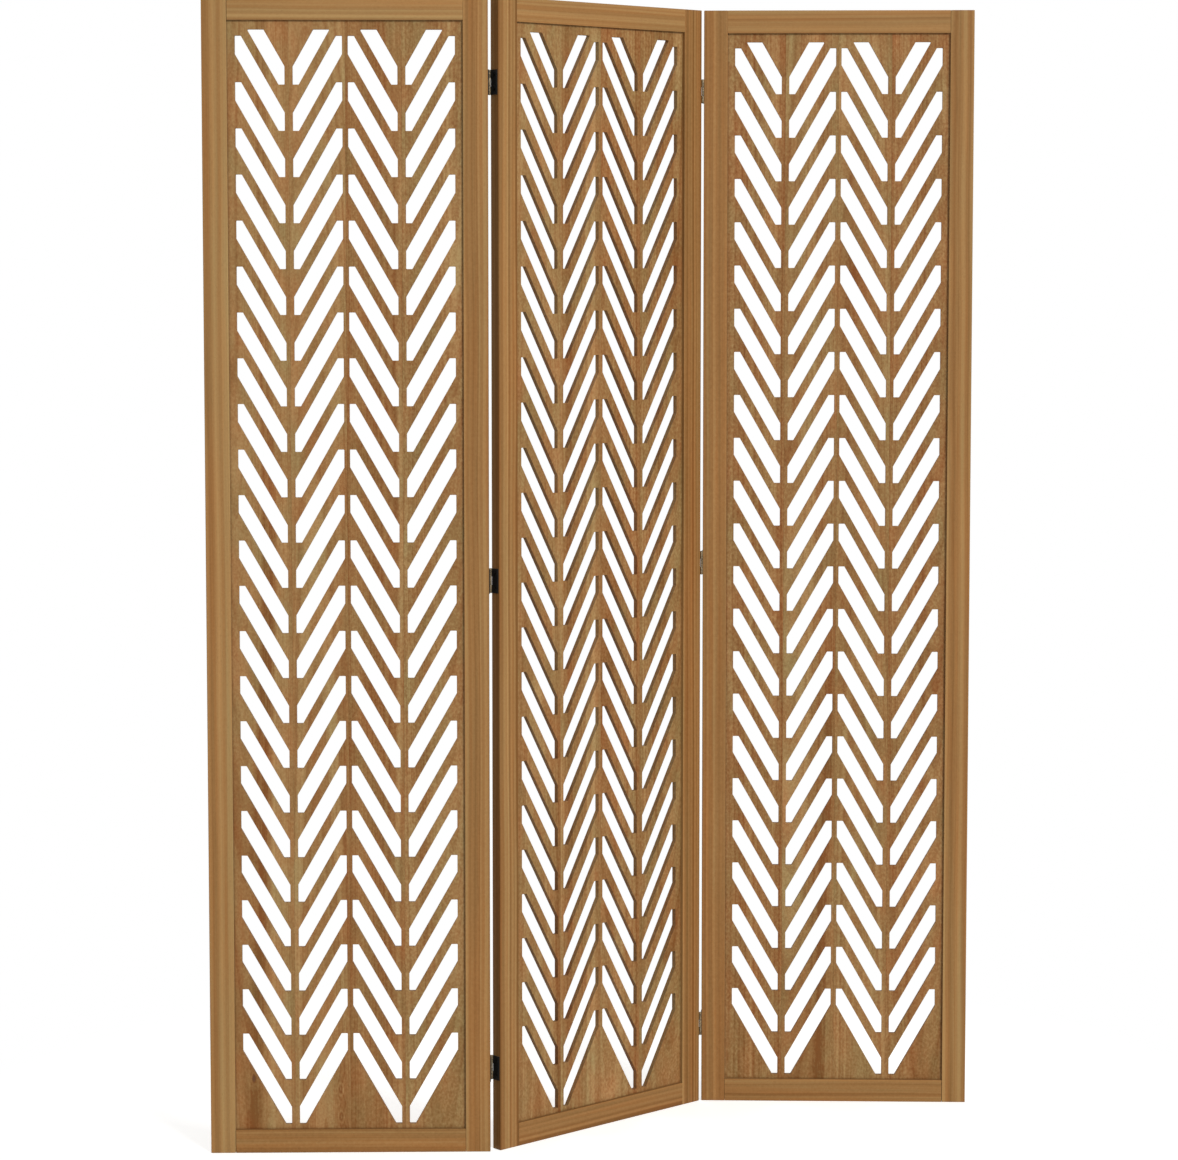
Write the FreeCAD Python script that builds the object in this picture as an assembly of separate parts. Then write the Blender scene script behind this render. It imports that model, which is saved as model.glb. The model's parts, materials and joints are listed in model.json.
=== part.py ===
import FreeCAD, Part
import math
import os

# Folding screen of three wooden panels in a zigzag, joined by butt hinges.
#
# Each panel is a frame of two stiles and two rails. The rails have stub tenons in blind mortises,
# and all four members are grooved for a thin board of four upright planks. The planks are pierced
# with columns of slanted slots that meet in V shapes, one column to a plank.
#
# The part's frame has +X to the right, +Y away from the front and +Z up. The origin is under the
# middle of the screen's box, on the floor. Lengths are in millimetres and angles in degrees.

# Panel frame
PANEL_HEIGHT = 1780.0
PANEL_WIDTH = 433.0
FRAME_THICKNESS = 18.0
STILE_WIDTH = 38.0
TOP_RAIL_WIDTH = 36.5
BOTTOM_RAIL_WIDTH = 36.5
EDGE_CHAMFER = 0.8

# Grooves, mortises and tenons
BOARD_THICKNESS = 8.0
GROOVE_DEPTH = 7.0
SWELLING_GAP = 1.0  # room for the board to grow across its grain and at its top
TENON_LENGTH = 24.0
TENON_SHOULDER = 8.0  # wood left above or below a tenon, at the frame's outer edge
MORTISE_END_GAP = 1.0
JOINT_CLEARANCE = 0.1  # each side of a board or tenon in its groove or mortise

# Lattice of slanted slots
SIDE_MARGIN = 12.0  # between the frame and the outer slot columns
SPINE_WIDTH = 12.0  # between the two columns that make one row of V shapes
CENTRE_WEB_WIDTH = 8.5
SLOT_SLOPE = 60.4
SLOT_PITCH = 69.7
SLOT_END_HEIGHT = 27.4  # length of a slot's two upright ends
SLOT_END_FLAT = 9.4  # length of a slot's level top and bottom
LOWEST_SLOT_GAP = 7.2  # above the bottom rail
HIGHEST_SLOT_GAP = 13.9  # below the top rail, where the last slots are cut off level
SHORTEST_SLOT = 40.0  # a slot that would be cut off shorter than this is left out

# Butt hinges
HINGE_HEIGHT = 38.0
HINGE_END_DISTANCE = 129.0  # from a panel's end to the middle of the nearest hinge
LEAF_THICKNESS = 0.9
LEAF_SETBACK = 1.9  # a leaf stops this far short of the panel's other face
NOTCH_CLEARANCE = 0.4  # between a leaf's notch and the other leaf's knuckle
KNUCKLE_COUNT = 3
KNUCKLE_GAP = 0.2
PIN_DIAMETER = 2.0
PIN_CLEARANCE = 0.05
PIN_PROUD = 0.3  # the pin stands out of the barrel this far at each end
AXIS_OFFSET = 0.5  # the pin's axis lies this far outside the panel's face

# How far each joint is folded from flat, as the screen stands
LEFT_JOINT_ANGLE = 41.5
RIGHT_JOINT_ANGLE = 44.15

OVERRUN = 1.0  # cutting solids pass this far through what they cut

GROOVE_WIDTH = BOARD_THICKNESS + 2 * JOINT_CLEARANCE
GROOVE_FRONT = (FRAME_THICKNESS - GROOVE_WIDTH) / 2
BOARD_FRONT = (FRAME_THICKNESS - BOARD_THICKNESS) / 2
KNUCKLE_BORE_RADIUS = PIN_DIAMETER / 2 + PIN_CLEARANCE
BARREL_RADIUS = KNUCKLE_BORE_RADIUS + LEAF_THICKNESS
LEAF_REACH = FRAME_THICKNESS + AXIS_OFFSET - LEAF_SETBACK
HALF_JOINT_GAP = BARREL_RADIUS  # flat panels stand one barrel apart
RAIL_LENGTH = PANEL_WIDTH - 2 * STILE_WIDTH

UP = FreeCAD.Vector(0, 0, 1)


def box(low, high):
    """A solid box between two corners, given as (x, y, z)."""
    size = [b - a for a, b in zip(low, high)]
    return Part.makeBox(*size, FreeCAD.Vector(*low))


def polygon(points, depth):
    """A closed wire through (x, z) points in the plane y = depth."""
    corners = [FreeCAD.Vector(x, depth, z) for x, z in points]
    return Part.makePolygon(corners + corners[:1])


def turned(shape, axis):
    """A copy of the shape turned half round an axis through the origin."""
    copy = shape.copy()
    copy.rotate(FreeCAD.Vector(), axis, 180)
    return copy


def lengthwise_edges(shape, direction):
    """The straight edges of a shape that run along a direction."""
    return [e for e in shape.Edges if abs(e.tangentAt(e.FirstParameter).dot(direction)) > 0.999]


# Frame members, in a panel's own frame: X across, Y from the front face back, Z up, with the
# panel's lower left front corner at the origin


def left_stile():
    """A full-height stile, grooved on its inner edge and mortised for both rails."""
    stile = box((0, 0, 0), (STILE_WIDTH, FRAME_THICKNESS, PANEL_HEIGHT))
    stile = stile.makeChamfer(EDGE_CHAMFER, stile.Edges)
    bottom_floor = BOTTOM_RAIL_WIDTH - GROOVE_DEPTH
    top_floor = PANEL_HEIGHT - TOP_RAIL_WIDTH + GROOVE_DEPTH
    groove_back = GROOVE_FRONT + GROOVE_WIDTH
    groove = box(
        (STILE_WIDTH - GROOVE_DEPTH, GROOVE_FRONT, bottom_floor),
        (STILE_WIDTH + OVERRUN, groove_back, top_floor),
    )
    mortise_floor = STILE_WIDTH - TENON_LENGTH - MORTISE_END_GAP
    lower_mortise = box(
        (mortise_floor, GROOVE_FRONT, TENON_SHOULDER - JOINT_CLEARANCE),
        (STILE_WIDTH + OVERRUN, groove_back, bottom_floor),
    )
    upper_mortise = box(
        (mortise_floor, GROOVE_FRONT, top_floor),
        (STILE_WIDTH + OVERRUN, groove_back, PANEL_HEIGHT - TENON_SHOULDER + JOINT_CLEARANCE),
    )
    return stile.cut([groove, lower_mortise, upper_mortise]).removeSplitter()


def right_stile():
    """The left stile's mirror image."""
    return left_stile().mirror(FreeCAD.Vector(PANEL_WIDTH / 2, 0, 0), FreeCAD.Vector(1, 0, 0))


def bottom_rail(width=BOTTOM_RAIL_WIDTH):
    """A rail with its groove upwards and a stub tenon at each end."""
    rail = box((STILE_WIDTH, 0, 0), (PANEL_WIDTH - STILE_WIDTH, FRAME_THICKNESS, width))
    rail = rail.makeChamfer(EDGE_CHAMFER, lengthwise_edges(rail, FreeCAD.Vector(1, 0, 0)))
    groove = box(
        (STILE_WIDTH - OVERRUN, GROOVE_FRONT, width - GROOVE_DEPTH),
        (PANEL_WIDTH - STILE_WIDTH + OVERRUN, GROOVE_FRONT + GROOVE_WIDTH, width + OVERRUN),
    )
    tongue = box(
        (STILE_WIDTH - TENON_LENGTH, BOARD_FRONT, TENON_SHOULDER),
        (PANEL_WIDTH - STILE_WIDTH + TENON_LENGTH, BOARD_FRONT + BOARD_THICKNESS, width - GROOVE_DEPTH),
    )
    return rail.cut(groove).fuse(tongue).removeSplitter()


def top_rail():
    """A rail with its groove downwards."""
    rail = turned(bottom_rail(TOP_RAIL_WIDTH), FreeCAD.Vector(0, 1, 0))
    rail.translate(FreeCAD.Vector(PANEL_WIDTH, 0, PANEL_HEIGHT))
    return rail


# Lattice planks


def clipped(points, level):
    """A convex outline with everything above a level cut off."""
    kept = []
    for (x0, z0), (x1, z1) in zip(points, points[1:] + points[:1]):
        if z0 <= level:
            kept.append((x0, z0))
        if (z0 - level) * (z1 - level) < 0:
            kept.append((x0 + (x1 - x0) * (level - z0) / (z1 - z0), level))
    return kept


def slot_outline(left, right, bottom, falls_to_right):
    """The six corners of a slanted slot that fills a column between left and right."""
    width = right - left
    height = SLOT_END_HEIGHT + (width - SLOT_END_FLAT) * math.tan(math.radians(SLOT_SLOPE))
    shape = [
        (0, height),
        (SLOT_END_FLAT, height),
        (width, SLOT_END_HEIGHT),
        (width, 0),
        (width - SLOT_END_FLAT, 0),
        (0, height - SLOT_END_HEIGHT),
    ]
    if falls_to_right:
        return [(left + x, bottom + z) for x, z in shape]
    return [(right - x, bottom + z) for x, z in shape]


def lattice_planks():
    """The four planks of a panel's board, each pierced with one column of slots."""
    board_left = STILE_WIDTH - GROOVE_DEPTH + SWELLING_GAP
    board_bottom = BOTTOM_RAIL_WIDTH - GROOVE_DEPTH
    board_top = PANEL_HEIGHT - TOP_RAIL_WIDTH + GROOVE_DEPTH - SWELLING_GAP
    slots_bottom = BOTTOM_RAIL_WIDTH + LOWEST_SLOT_GAP
    slots_top = PANEL_HEIGHT - TOP_RAIL_WIDTH - HIGHEST_SLOT_GAP
    row_count = int((slots_top - slots_bottom - SHORTEST_SLOT) / SLOT_PITCH) + 1

    solid_width = 2 * SIDE_MARGIN + 2 * SPINE_WIDTH + CENTRE_WEB_WIDTH
    column_width = (RAIL_LENGTH - solid_width) / 4
    first = STILE_WIDTH + SIDE_MARGIN
    second = first + column_width + SPINE_WIDTH
    third = second + column_width + CENTRE_WEB_WIDTH
    fourth = third + column_width + SPINE_WIDTH
    seams = [
        board_left,
        second - SPINE_WIDTH / 2,
        PANEL_WIDTH / 2,
        fourth - SPINE_WIDTH / 2,
        PANEL_WIDTH - board_left,
    ]

    planks = []
    for index, column_left in enumerate((first, second, third, fourth)):
        left, right = seams[index], seams[index + 1]
        rim = [(left, board_bottom), (right, board_bottom), (right, board_top), (left, board_top)]
        wires = [polygon(rim, BOARD_FRONT)]
        for row in range(row_count):
            bottom = slots_bottom + row * SLOT_PITCH
            outline = slot_outline(column_left, column_left + column_width, bottom, index % 2 == 0)
            wires.append(polygon(clipped(outline, slots_top), BOARD_FRONT))
        face = Part.Face(wires, "Part::FaceMakerBullseye")
        planks.append(face.extrude(FreeCAD.Vector(0, BOARD_THICKNESS, 0)))
    return planks


# Hinge pieces, with the pin's axis on Z and the leaf on the +X side, reaching along +Y


def rolled_profile():
    """The section of a leaf through one of its knuckles, as a face."""
    roll_end = math.sqrt(BARREL_RADIUS**2 - KNUCKLE_BORE_RADIUS**2)
    tangent = FreeCAD.Vector(BARREL_RADIUS, 0, 0)
    meeting = FreeCAD.Vector(KNUCKLE_BORE_RADIUS, roll_end, 0)
    inner_tip = FreeCAD.Vector(KNUCKLE_BORE_RADIUS, LEAF_REACH, 0)
    outer_tip = FreeCAD.Vector(BARREL_RADIUS, LEAF_REACH, 0)
    far_side = FreeCAD.Vector(-BARREL_RADIUS, 0, 0)
    outline = Part.Wire(
        [
            Part.LineSegment(outer_tip, tangent).toShape(),
            Part.Arc(tangent, far_side, meeting).toShape(),
            Part.LineSegment(meeting, inner_tip).toShape(),
            Part.LineSegment(inner_tip, outer_tip).toShape(),
        ]
    )
    bore = Part.Wire(Part.makeCircle(KNUCKLE_BORE_RADIUS, FreeCAD.Vector(), UP))
    return Part.Face([outline, bore], "Part::FaceMakerBullseye")


def hinge_leaf(knuckles):
    """A leaf with the numbered knuckles, counted from the bottom, and notches for the others."""
    bottom = -HINGE_HEIGHT / 2
    leaf = box(
        (KNUCKLE_BORE_RADIUS, BARREL_RADIUS + NOTCH_CLEARANCE, bottom),
        (BARREL_RADIUS, LEAF_REACH, bottom + HINGE_HEIGHT),
    )
    pitch = HINGE_HEIGHT / KNUCKLE_COUNT
    profile = rolled_profile()
    knuckle_solids = []
    for number in knuckles:
        low = bottom + number * pitch + (KNUCKLE_GAP / 2 if number > 0 else 0)
        high = bottom + (number + 1) * pitch - (KNUCKLE_GAP / 2 if number < KNUCKLE_COUNT - 1 else 0)
        section = profile.copy()
        section.translate(UP * low)
        knuckle_solids.append(section.extrude(UP * (high - low)))
    return leaf.fuse(knuckle_solids).removeSplitter()


def hinge_pin():
    """The pin that the knuckles turn on."""
    length = HINGE_HEIGHT + 2 * PIN_PROUD
    return Part.makeCylinder(PIN_DIAMETER / 2, length, UP * (-length / 2), UP)


# Where the panels and hinge axes stand


class PanelPlace:
    """Where one panel stands: its lower left front corner and its turn about the vertical."""

    def __init__(self, angle, own_point, world_point):
        """Turns the panel so that a point of its own plan lands on a point of the floor."""
        self.angle = angle
        turn = FreeCAD.Rotation(UP, angle)
        self.corner = world_point - turn.multVec(own_point)
        self.turn = turn

    def world(self, point):
        """A point of the panel's own frame, in the screen's frame."""
        return self.corner + self.turn.multVec(point)

    def put(self, shape):
        """A copy of a shape of the panel's own frame, set in the screen's frame."""
        copy = shape.copy()
        copy.rotate(FreeCAD.Vector(), UP, self.angle)
        copy.translate(self.corner)
        return copy

    def plan_corners(self):
        """The panel's four corners on the floor."""
        return [
            self.world(FreeCAD.Vector(x, y, 0))
            for x in (0, PANEL_WIDTH)
            for y in (0, FRAME_THICKNESS)
        ]


# The left joint turns at the back of the panels and the right joint at their front
AXIS_BEHIND = FRAME_THICKNESS + AXIS_OFFSET
AXIS_BEFORE = -AXIS_OFFSET
LEFT_OF_PANEL = -HALF_JOINT_GAP
RIGHT_OF_PANEL = PANEL_WIDTH + HALF_JOINT_GAP


def places(origin):
    """The three panels' places, left to right, with the left panel's corner at the given point."""
    left = PanelPlace(0, FreeCAD.Vector(), origin)
    left_axis = left.world(FreeCAD.Vector(RIGHT_OF_PANEL, AXIS_BEHIND, 0))
    centre = PanelPlace(LEFT_JOINT_ANGLE, FreeCAD.Vector(LEFT_OF_PANEL, AXIS_BEHIND, 0), left_axis)
    right_axis = centre.world(FreeCAD.Vector(RIGHT_OF_PANEL, AXIS_BEFORE, 0))
    right = PanelPlace(
        LEFT_JOINT_ANGLE - RIGHT_JOINT_ANGLE,
        FreeCAD.Vector(LEFT_OF_PANEL, AXIS_BEFORE, 0),
        right_axis,
    )
    return {"left": left, "centre": centre, "right": right}


def centred_places():
    """The panels' places with the screen's box centred on the origin."""
    corners = [c for place in places(FreeCAD.Vector()).values() for c in place.plan_corners()]
    middle = FreeCAD.Vector(
        (min(c.x for c in corners) + max(c.x for c in corners)) / 2,
        (min(c.y for c in corners) + max(c.y for c in corners)) / 2,
        0,
    )
    return places(-middle)


def hinge_nodes(stand):
    """Every hinge's two leaves and pin, by node name."""
    end_knuckles = hinge_leaf(range(0, KNUCKLE_COUNT, 2))
    inner_knuckles = hinge_leaf(range(1, KNUCKLE_COUNT, 2))
    pin = hinge_pin()
    heights = {
        "lower": HINGE_END_DISTANCE,
        "middle": PANEL_HEIGHT / 2,
        "upper": PANEL_HEIGHT - HINGE_END_DISTANCE,
    }
    # A leaf is turned to reach forwards from a back axis, or back from a front axis. The centre
    # panel carries the leaves with the knuckles at the ends of each barrel.
    joints = {
        "left_joint": {
            "depth": AXIS_BEHIND,
            "centre_side": LEFT_OF_PANEL,
            "centre_leaf": turned(end_knuckles, FreeCAD.Vector(1, 0, 0)),
            "outer": "left",
            "outer_side": RIGHT_OF_PANEL,
            "outer_leaf": turned(inner_knuckles, UP),
        },
        "right_joint": {
            "depth": AXIS_BEFORE,
            "centre_side": RIGHT_OF_PANEL,
            "centre_leaf": turned(end_knuckles, FreeCAD.Vector(0, 1, 0)),
            "outer": "right",
            "outer_side": LEFT_OF_PANEL,
            "outer_leaf": inner_knuckles,
        },
    }
    nodes = {}
    for joint, fit in joints.items():
        for level, height in heights.items():
            centre_spot = FreeCAD.Vector(fit["centre_side"], fit["depth"], height)
            outer_spot = FreeCAD.Vector(fit["outer_side"], fit["depth"], height)
            name = f"{joint}_{level}_hinge"
            centre, outer = stand["centre"], stand[fit["outer"]]
            nodes[f"{name}_centre_leaf"] = centre.put(fit["centre_leaf"].translated(centre_spot))
            nodes[f"{name}_{fit['outer']}_leaf"] = outer.put(fit["outer_leaf"].translated(outer_spot))
            nodes[f"{name}_pin"] = centre.put(pin.translated(centre_spot))
    return nodes


def panel_nodes(panel, place):
    """One panel's frame members and planks, by node name."""
    pieces = {
        "left_stile": left_stile(),
        "right_stile": right_stile(),
        "top_rail": top_rail(),
        "bottom_rail": bottom_rail(),
    }
    for number, plank in enumerate(lattice_planks(), 1):
        pieces[f"lattice_plank_{number}"] = plank
    return {f"{panel}_panel_{piece}": place.put(shape) for piece, shape in pieces.items()}


def main():
    """Builds every piece and writes one file for each."""
    os.makedirs("parts", exist_ok=True)
    stand = centred_places()
    nodes = {}
    for panel, place in stand.items():
        nodes.update(panel_nodes(panel, place))
    nodes.update(hinge_nodes(stand))
    for name, shape in nodes.items():
        shape.exportStep(f"parts/{name}.step")
    left_axis = stand["left"].world(FreeCAD.Vector(RIGHT_OF_PANEL, AXIS_BEHIND, 0))
    right_axis = stand["centre"].world(FreeCAD.Vector(RIGHT_OF_PANEL, AXIS_BEFORE, 0))
    print("left joint axis", left_axis)
    print("right joint axis", right_axis)
    for panel, place in stand.items():
        foot = place.world(FreeCAD.Vector(PANEL_WIDTH / 2, BOARD_FRONT / 2, 0))
        print(panel, "panel corner", place.corner, "underside of the bottom rail", foot)


main()
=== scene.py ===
"""Looks of a three-panel folding screen with a pierced chevron lattice, built around its CAD frame.

A panel's pieces are drawn in millimetres in the panel's own plan: x across it, y from its front face
back and z up, from its lower left front corner. Standing the panel turns them into the frame's
metres. Each piece of wood carries its place in the tree as an attribute, so the grain runs along it
however the panel is turned.
"""

import json
import logging
import math
from dataclasses import dataclass
from enum import Enum
from functools import partial
from typing import Any, Callable, Iterable

import bmesh
import bpy
import numpy as np
from bmesh.types import BMesh
from bpy.types import Material, Mesh, NodeSocket, NodesModifier, NodeTree, Object
from mathutils import Matrix, Vector


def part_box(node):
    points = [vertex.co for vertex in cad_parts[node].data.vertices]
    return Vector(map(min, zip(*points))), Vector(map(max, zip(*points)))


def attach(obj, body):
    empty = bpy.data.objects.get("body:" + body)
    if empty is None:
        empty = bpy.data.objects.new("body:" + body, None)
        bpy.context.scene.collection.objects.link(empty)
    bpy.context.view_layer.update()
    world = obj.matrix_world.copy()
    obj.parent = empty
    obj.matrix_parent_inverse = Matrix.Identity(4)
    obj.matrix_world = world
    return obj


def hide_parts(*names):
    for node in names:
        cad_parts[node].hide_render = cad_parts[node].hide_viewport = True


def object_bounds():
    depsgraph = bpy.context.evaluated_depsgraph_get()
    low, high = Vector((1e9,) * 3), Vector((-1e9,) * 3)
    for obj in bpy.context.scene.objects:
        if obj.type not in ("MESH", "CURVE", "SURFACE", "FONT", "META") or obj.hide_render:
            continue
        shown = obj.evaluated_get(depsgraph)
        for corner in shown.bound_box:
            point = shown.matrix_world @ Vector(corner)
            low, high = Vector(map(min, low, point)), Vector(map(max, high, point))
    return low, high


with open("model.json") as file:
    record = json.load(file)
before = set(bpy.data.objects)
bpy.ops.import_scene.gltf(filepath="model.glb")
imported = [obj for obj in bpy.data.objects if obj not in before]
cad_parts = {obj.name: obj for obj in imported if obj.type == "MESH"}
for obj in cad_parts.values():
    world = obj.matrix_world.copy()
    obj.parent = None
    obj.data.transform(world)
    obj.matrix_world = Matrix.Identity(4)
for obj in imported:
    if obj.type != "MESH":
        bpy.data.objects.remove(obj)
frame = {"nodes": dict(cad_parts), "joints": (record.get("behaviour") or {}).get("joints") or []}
cad_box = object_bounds()

log = logging.getLogger("folding_screen")

MM = 0.001  # one millimetre, in the frame's metres
MERGE_DISTANCE = 0.005  # millimetres
OVERRUN = 1.0  # how far a cutter or a tenon runs past a face, in millimetres
ARRIS_STEPS = 3  # straight pieces in the rounding of a frame member's long edges
ACROSS, DEPTH, UPRIGHT = 0, 1, 2  # the axes of a panel's plan
MEMBERS = ("left_stile", "right_stile", "top_rail", "bottom_rail")
PLANKS = tuple(f"lattice_plank_{number}" for number in range(1, 5))
SMOOTH = {"interpolation_type": "SMOOTHSTEP"}

Adder = Callable[..., Any]  # add_node for one tree
Point = tuple[float, float]
Row = tuple[float, float]


def linear(colour: str) -> tuple[float, float, float, float]:
    """Turns an sRGB hex colour into the linear values that a socket takes.

    Args:
        colour: The colour, such as "#A07A4C".

    Returns:
        Red, green, blue and an alpha of 1.
    """
    shares = [int(colour[i : i + 2], 16) / 255 for i in (1, 3, 5)]
    red, green, blue = (s / 12.92 if s <= 0.04045 else ((s + 0.055) / 1.055) ** 2.4 for s in shares)
    return red, green, blue, 1.0


def add_node(
    tree: NodeTree, kind: str, *values: Any, more: dict | None = None, out: Any = 0, **settings: Any
) -> Any:
    """Adds one node to a tree, sets it and links it.

    Args:
        tree: The shader or geometry tree.
        kind: The node's type. A shader node's needs no prefix, so "Math" is "ShaderNodeMath".
        values: What the first inputs get: an output to link, a list of them, or a value.
        more: What other inputs get, by name or number.
        out: The output that is wanted, by name or number, or None for the node itself.
        settings: The node's own properties.

    Returns:
        The wanted output, or the node.
    """
    node = tree.nodes.new(kind if "Node" in kind else f"ShaderNode{kind}")
    for name, value in settings.items():
        setattr(node, name, value)
    for name, value in [*enumerate(values), *(more or {}).items()]:
        for part in value if isinstance(value, list) else [value]:
            if isinstance(part, NodeSocket):
                tree.links.new(part, node.inputs[name])
            else:
                node.inputs[name].default_value = part
    return node if out is None else node.outputs[out]


def new_material(name: str) -> tuple[Material, Adder]:
    """Starts a material.

    Args:
        name: The material's name.

    Returns:
        The material, and what adds nodes to it.
    """
    material = bpy.data.materials.new(name)
    material.use_nodes = True
    material.node_tree.nodes.clear()
    return material, partial(add_node, material.node_tree)


# Outlines and the walls that follow them


def rounded(corners: list[Point], radii: list[float], steps: int = 2) -> list[Point]:
    """Rounds the corners of a closed outline.

    Args:
        corners: The outline's corners in order.
        radii: The radius at each corner.
        steps: How many straight pieces make each arc.

    Returns:
        The rounded outline.
    """
    outline: list[Point] = []
    for index, (corner, radius) in enumerate(zip(corners, radii)):
        here = Vector(corner)
        if radius == 0:
            outline.append(corner)
            continue
        back = (Vector(corners[index - 1]) - here).normalized()
        ahead = (Vector(corners[(index + 1) % len(corners)]) - here).normalized()
        half_angle = back.angle(ahead) / 2
        centre = here + (back + ahead).normalized() * (radius / math.sin(half_angle))
        start, end = (here + way * (radius / math.tan(half_angle)) - centre for way in (back, ahead))
        for step in range(steps + 1):
            outline.append(tuple(centre + start.lerp(end, step / steps).normalized() * radius))
    return outline


def offset(outline: list[Point], distance: float) -> list[Point]:
    """Moves every side of a closed outline outwards, or inwards for a negative distance.

    Args:
        outline: The outline, anticlockwise.
        distance: How far each side moves.

    Returns:
        The moved outline, with as many points.
    """
    moved = []
    for index, corner in enumerate(outline):
        here = Vector(corner)
        before = (here - Vector(outline[index - 1])).normalized()
        after = (Vector(outline[(index + 1) % len(outline)]) - here).normalized()
        first, second = Vector((before.y, -before.x)), Vector((after.y, -after.x))
        moved.append(tuple(here + (first + second) * (distance / (1 + first.dot(second)))))
    return moved


def eased_rows(length: float, first: float, last: float, way: int = 1, start: float = 0) -> list[Row]:
    """The rows of a wall whose two ends curve over in a small quarter round.

    Args:
        length: The wall's length from end to end.
        first: The radius of the quarter round where the wall starts.
        last: The radius where it ends.
        way: 1 where the ends curve out of the outline, as round a hole, and -1 where they curve in.
        start: Where the wall starts.

    Returns:
        For each row, how far it stands out from the wall's line, and how far along it is.
    """
    angles = [math.radians(angle) for angle in (0, 45, 90)]
    rows, end = (
        [(way * ease * (1 - math.sin(a)), ease * (1 - math.cos(a))) for a in angles]
        for ease in (first, last)
    )
    rows += [(out, length - along) for out, along in reversed(end)]
    return [(out, start + along) for out, along in rows]


def add_wall(
    mesh: BMesh, outline: list[Point], rows: Iterable[Row], place: Callable, caps: bool = False
) -> None:
    """Adds the wall that follows a closed outline, row by row.

    Args:
        mesh: The mesh that gets the wall.
        outline: The outline, anticlockwise.
        rows: The offset and the height of each row.
        place: Turns a point of the outline and a height into a point of the mesh.
        caps: Whether the first and last rows are closed with a face.
    """
    rings = [[mesh.verts.new(place(p, height)) for p in offset(outline, out)] for out, height in rows]
    for low, high in zip(rings, rings[1:]):
        for index in range(len(outline)):
            mesh.faces.new((low[index - 1], low[index], high[index], high[index - 1]))
    if caps:
        mesh.faces.new(rings[0])
        mesh.faces.new(rings[-1])


def to_mesh(source: BMesh, name: str) -> Mesh:
    """Turns a working mesh into a finished one, with doubles merged and faces pointing outwards.

    Args:
        source: The working mesh, which is freed.
        name: The new mesh's name.

    Returns:
        The finished mesh.
    """
    bmesh.ops.remove_doubles(source, verts=source.verts, dist=MERGE_DISTANCE)
    bmesh.ops.recalc_face_normals(source, faces=source.faces)
    open_edges = sum(not edge.is_manifold for edge in source.edges)
    if open_edges:
        log.warning("%s has %d open edges", name, open_edges)
    mesh = bpy.data.meshes.new(name)
    source.to_mesh(mesh)
    source.free()
    return mesh


def shown(name: str, mesh: Mesh) -> Object:
    """Puts a mesh in the scene as an object at the origin."""
    made = bpy.data.objects.new(name, mesh)
    bpy.context.scene.collection.objects.link(made)
    return made


def evaluated(worked: Object, helpers: Iterable[Object]) -> Mesh:
    """Bakes an object's modifiers into a plain mesh and removes the object.

    Args:
        worked: The object with its modifiers.
        helpers: The objects that the modifiers read, which are removed too.

    Returns:
        The resulting mesh.
    """
    bpy.context.view_layer.update()
    graph = bpy.context.evaluated_depsgraph_get()
    mesh = bpy.data.meshes.new_from_object(worked.evaluated_get(graph))
    worked.modifiers.clear()
    for used in (worked, *helpers):
        bpy.data.objects.remove(used)
    return mesh


def combined(mesh: Mesh, tool: BMesh, operation: str) -> Mesh:
    """Cuts a tool out of a mesh, or joins it on.

    Args:
        mesh: The mesh that is worked.
        tool: The working mesh that cuts or joins it.
        operation: The Boolean modifier's operation, "DIFFERENCE" or "UNION".

    Returns:
        The resulting mesh.
    """
    worked, cutter = shown("worked", mesh), shown("cutter", to_mesh(tool, "tool"))
    modifier = worked.modifiers.new("Join", "BOOLEAN")
    modifier.operation, modifier.solver, modifier.object = operation, "EXACT", cutter
    return evaluated(worked, [cutter])


# The plan of a panel and where the panels stand


@dataclass(frozen=True)
class PanelPlan:
    """Sizes of one panel in millimetres. All three panels are alike."""

    height: float
    width: float
    thickness: float
    stile_width: float
    top_rail_width: float
    bottom_rail_width: float
    board_front: float
    board_thickness: float
    board_bottom: float
    board_top: float
    seams: tuple[float, ...]  # the boards' long edges, left to right
    groove_depth: float = 7.0
    groove_clearance: float = 0.1
    tenon_length: float = 24.0
    tenon_shoulder: float = 8.0
    mortise_end_gap: float = 1.0

    @classmethod
    def from_frame(cls) -> "PanelPlan":
        """Reads the sizes off the left panel's CAD nodes, which stand square to the frame."""
        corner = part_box("left_panel_left_stile")[0]
        low, high = (
            {name: (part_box(f"left_panel_{name}")[end] - corner) / MM for name in (*MEMBERS, *PLANKS)}
            for end in (0, 1)
        )
        board_low, board_high = low[PLANKS[0]], high[PLANKS[0]]
        height = high["left_stile"].z
        return cls(
            height=height,
            width=high["right_stile"].x,
            thickness=high["left_stile"].y,
            stile_width=high["left_stile"].x,
            top_rail_width=height - low["top_rail"].z,
            bottom_rail_width=high["bottom_rail"].z,
            board_front=board_low.y,
            board_thickness=board_high.y - board_low.y,
            board_bottom=board_low.z,
            board_top=board_high.z,
            seams=(board_low.x, *(high[plank].x for plank in PLANKS)),
        )

    @property
    def groove(self) -> Point:
        """The front and back of the groove that holds the boards."""
        front = self.board_front - self.groove_clearance
        return front, self.thickness - front

    @property
    def opening(self) -> tuple[Vector, Vector]:
        """The lower left and upper right corners of the opening that the boards fill."""
        top = self.height - self.top_rail_width
        low = Vector((self.stile_width, 0.0, self.bottom_rail_width))
        return low, Vector((self.width - self.stile_width, 0.0, top))


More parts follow.
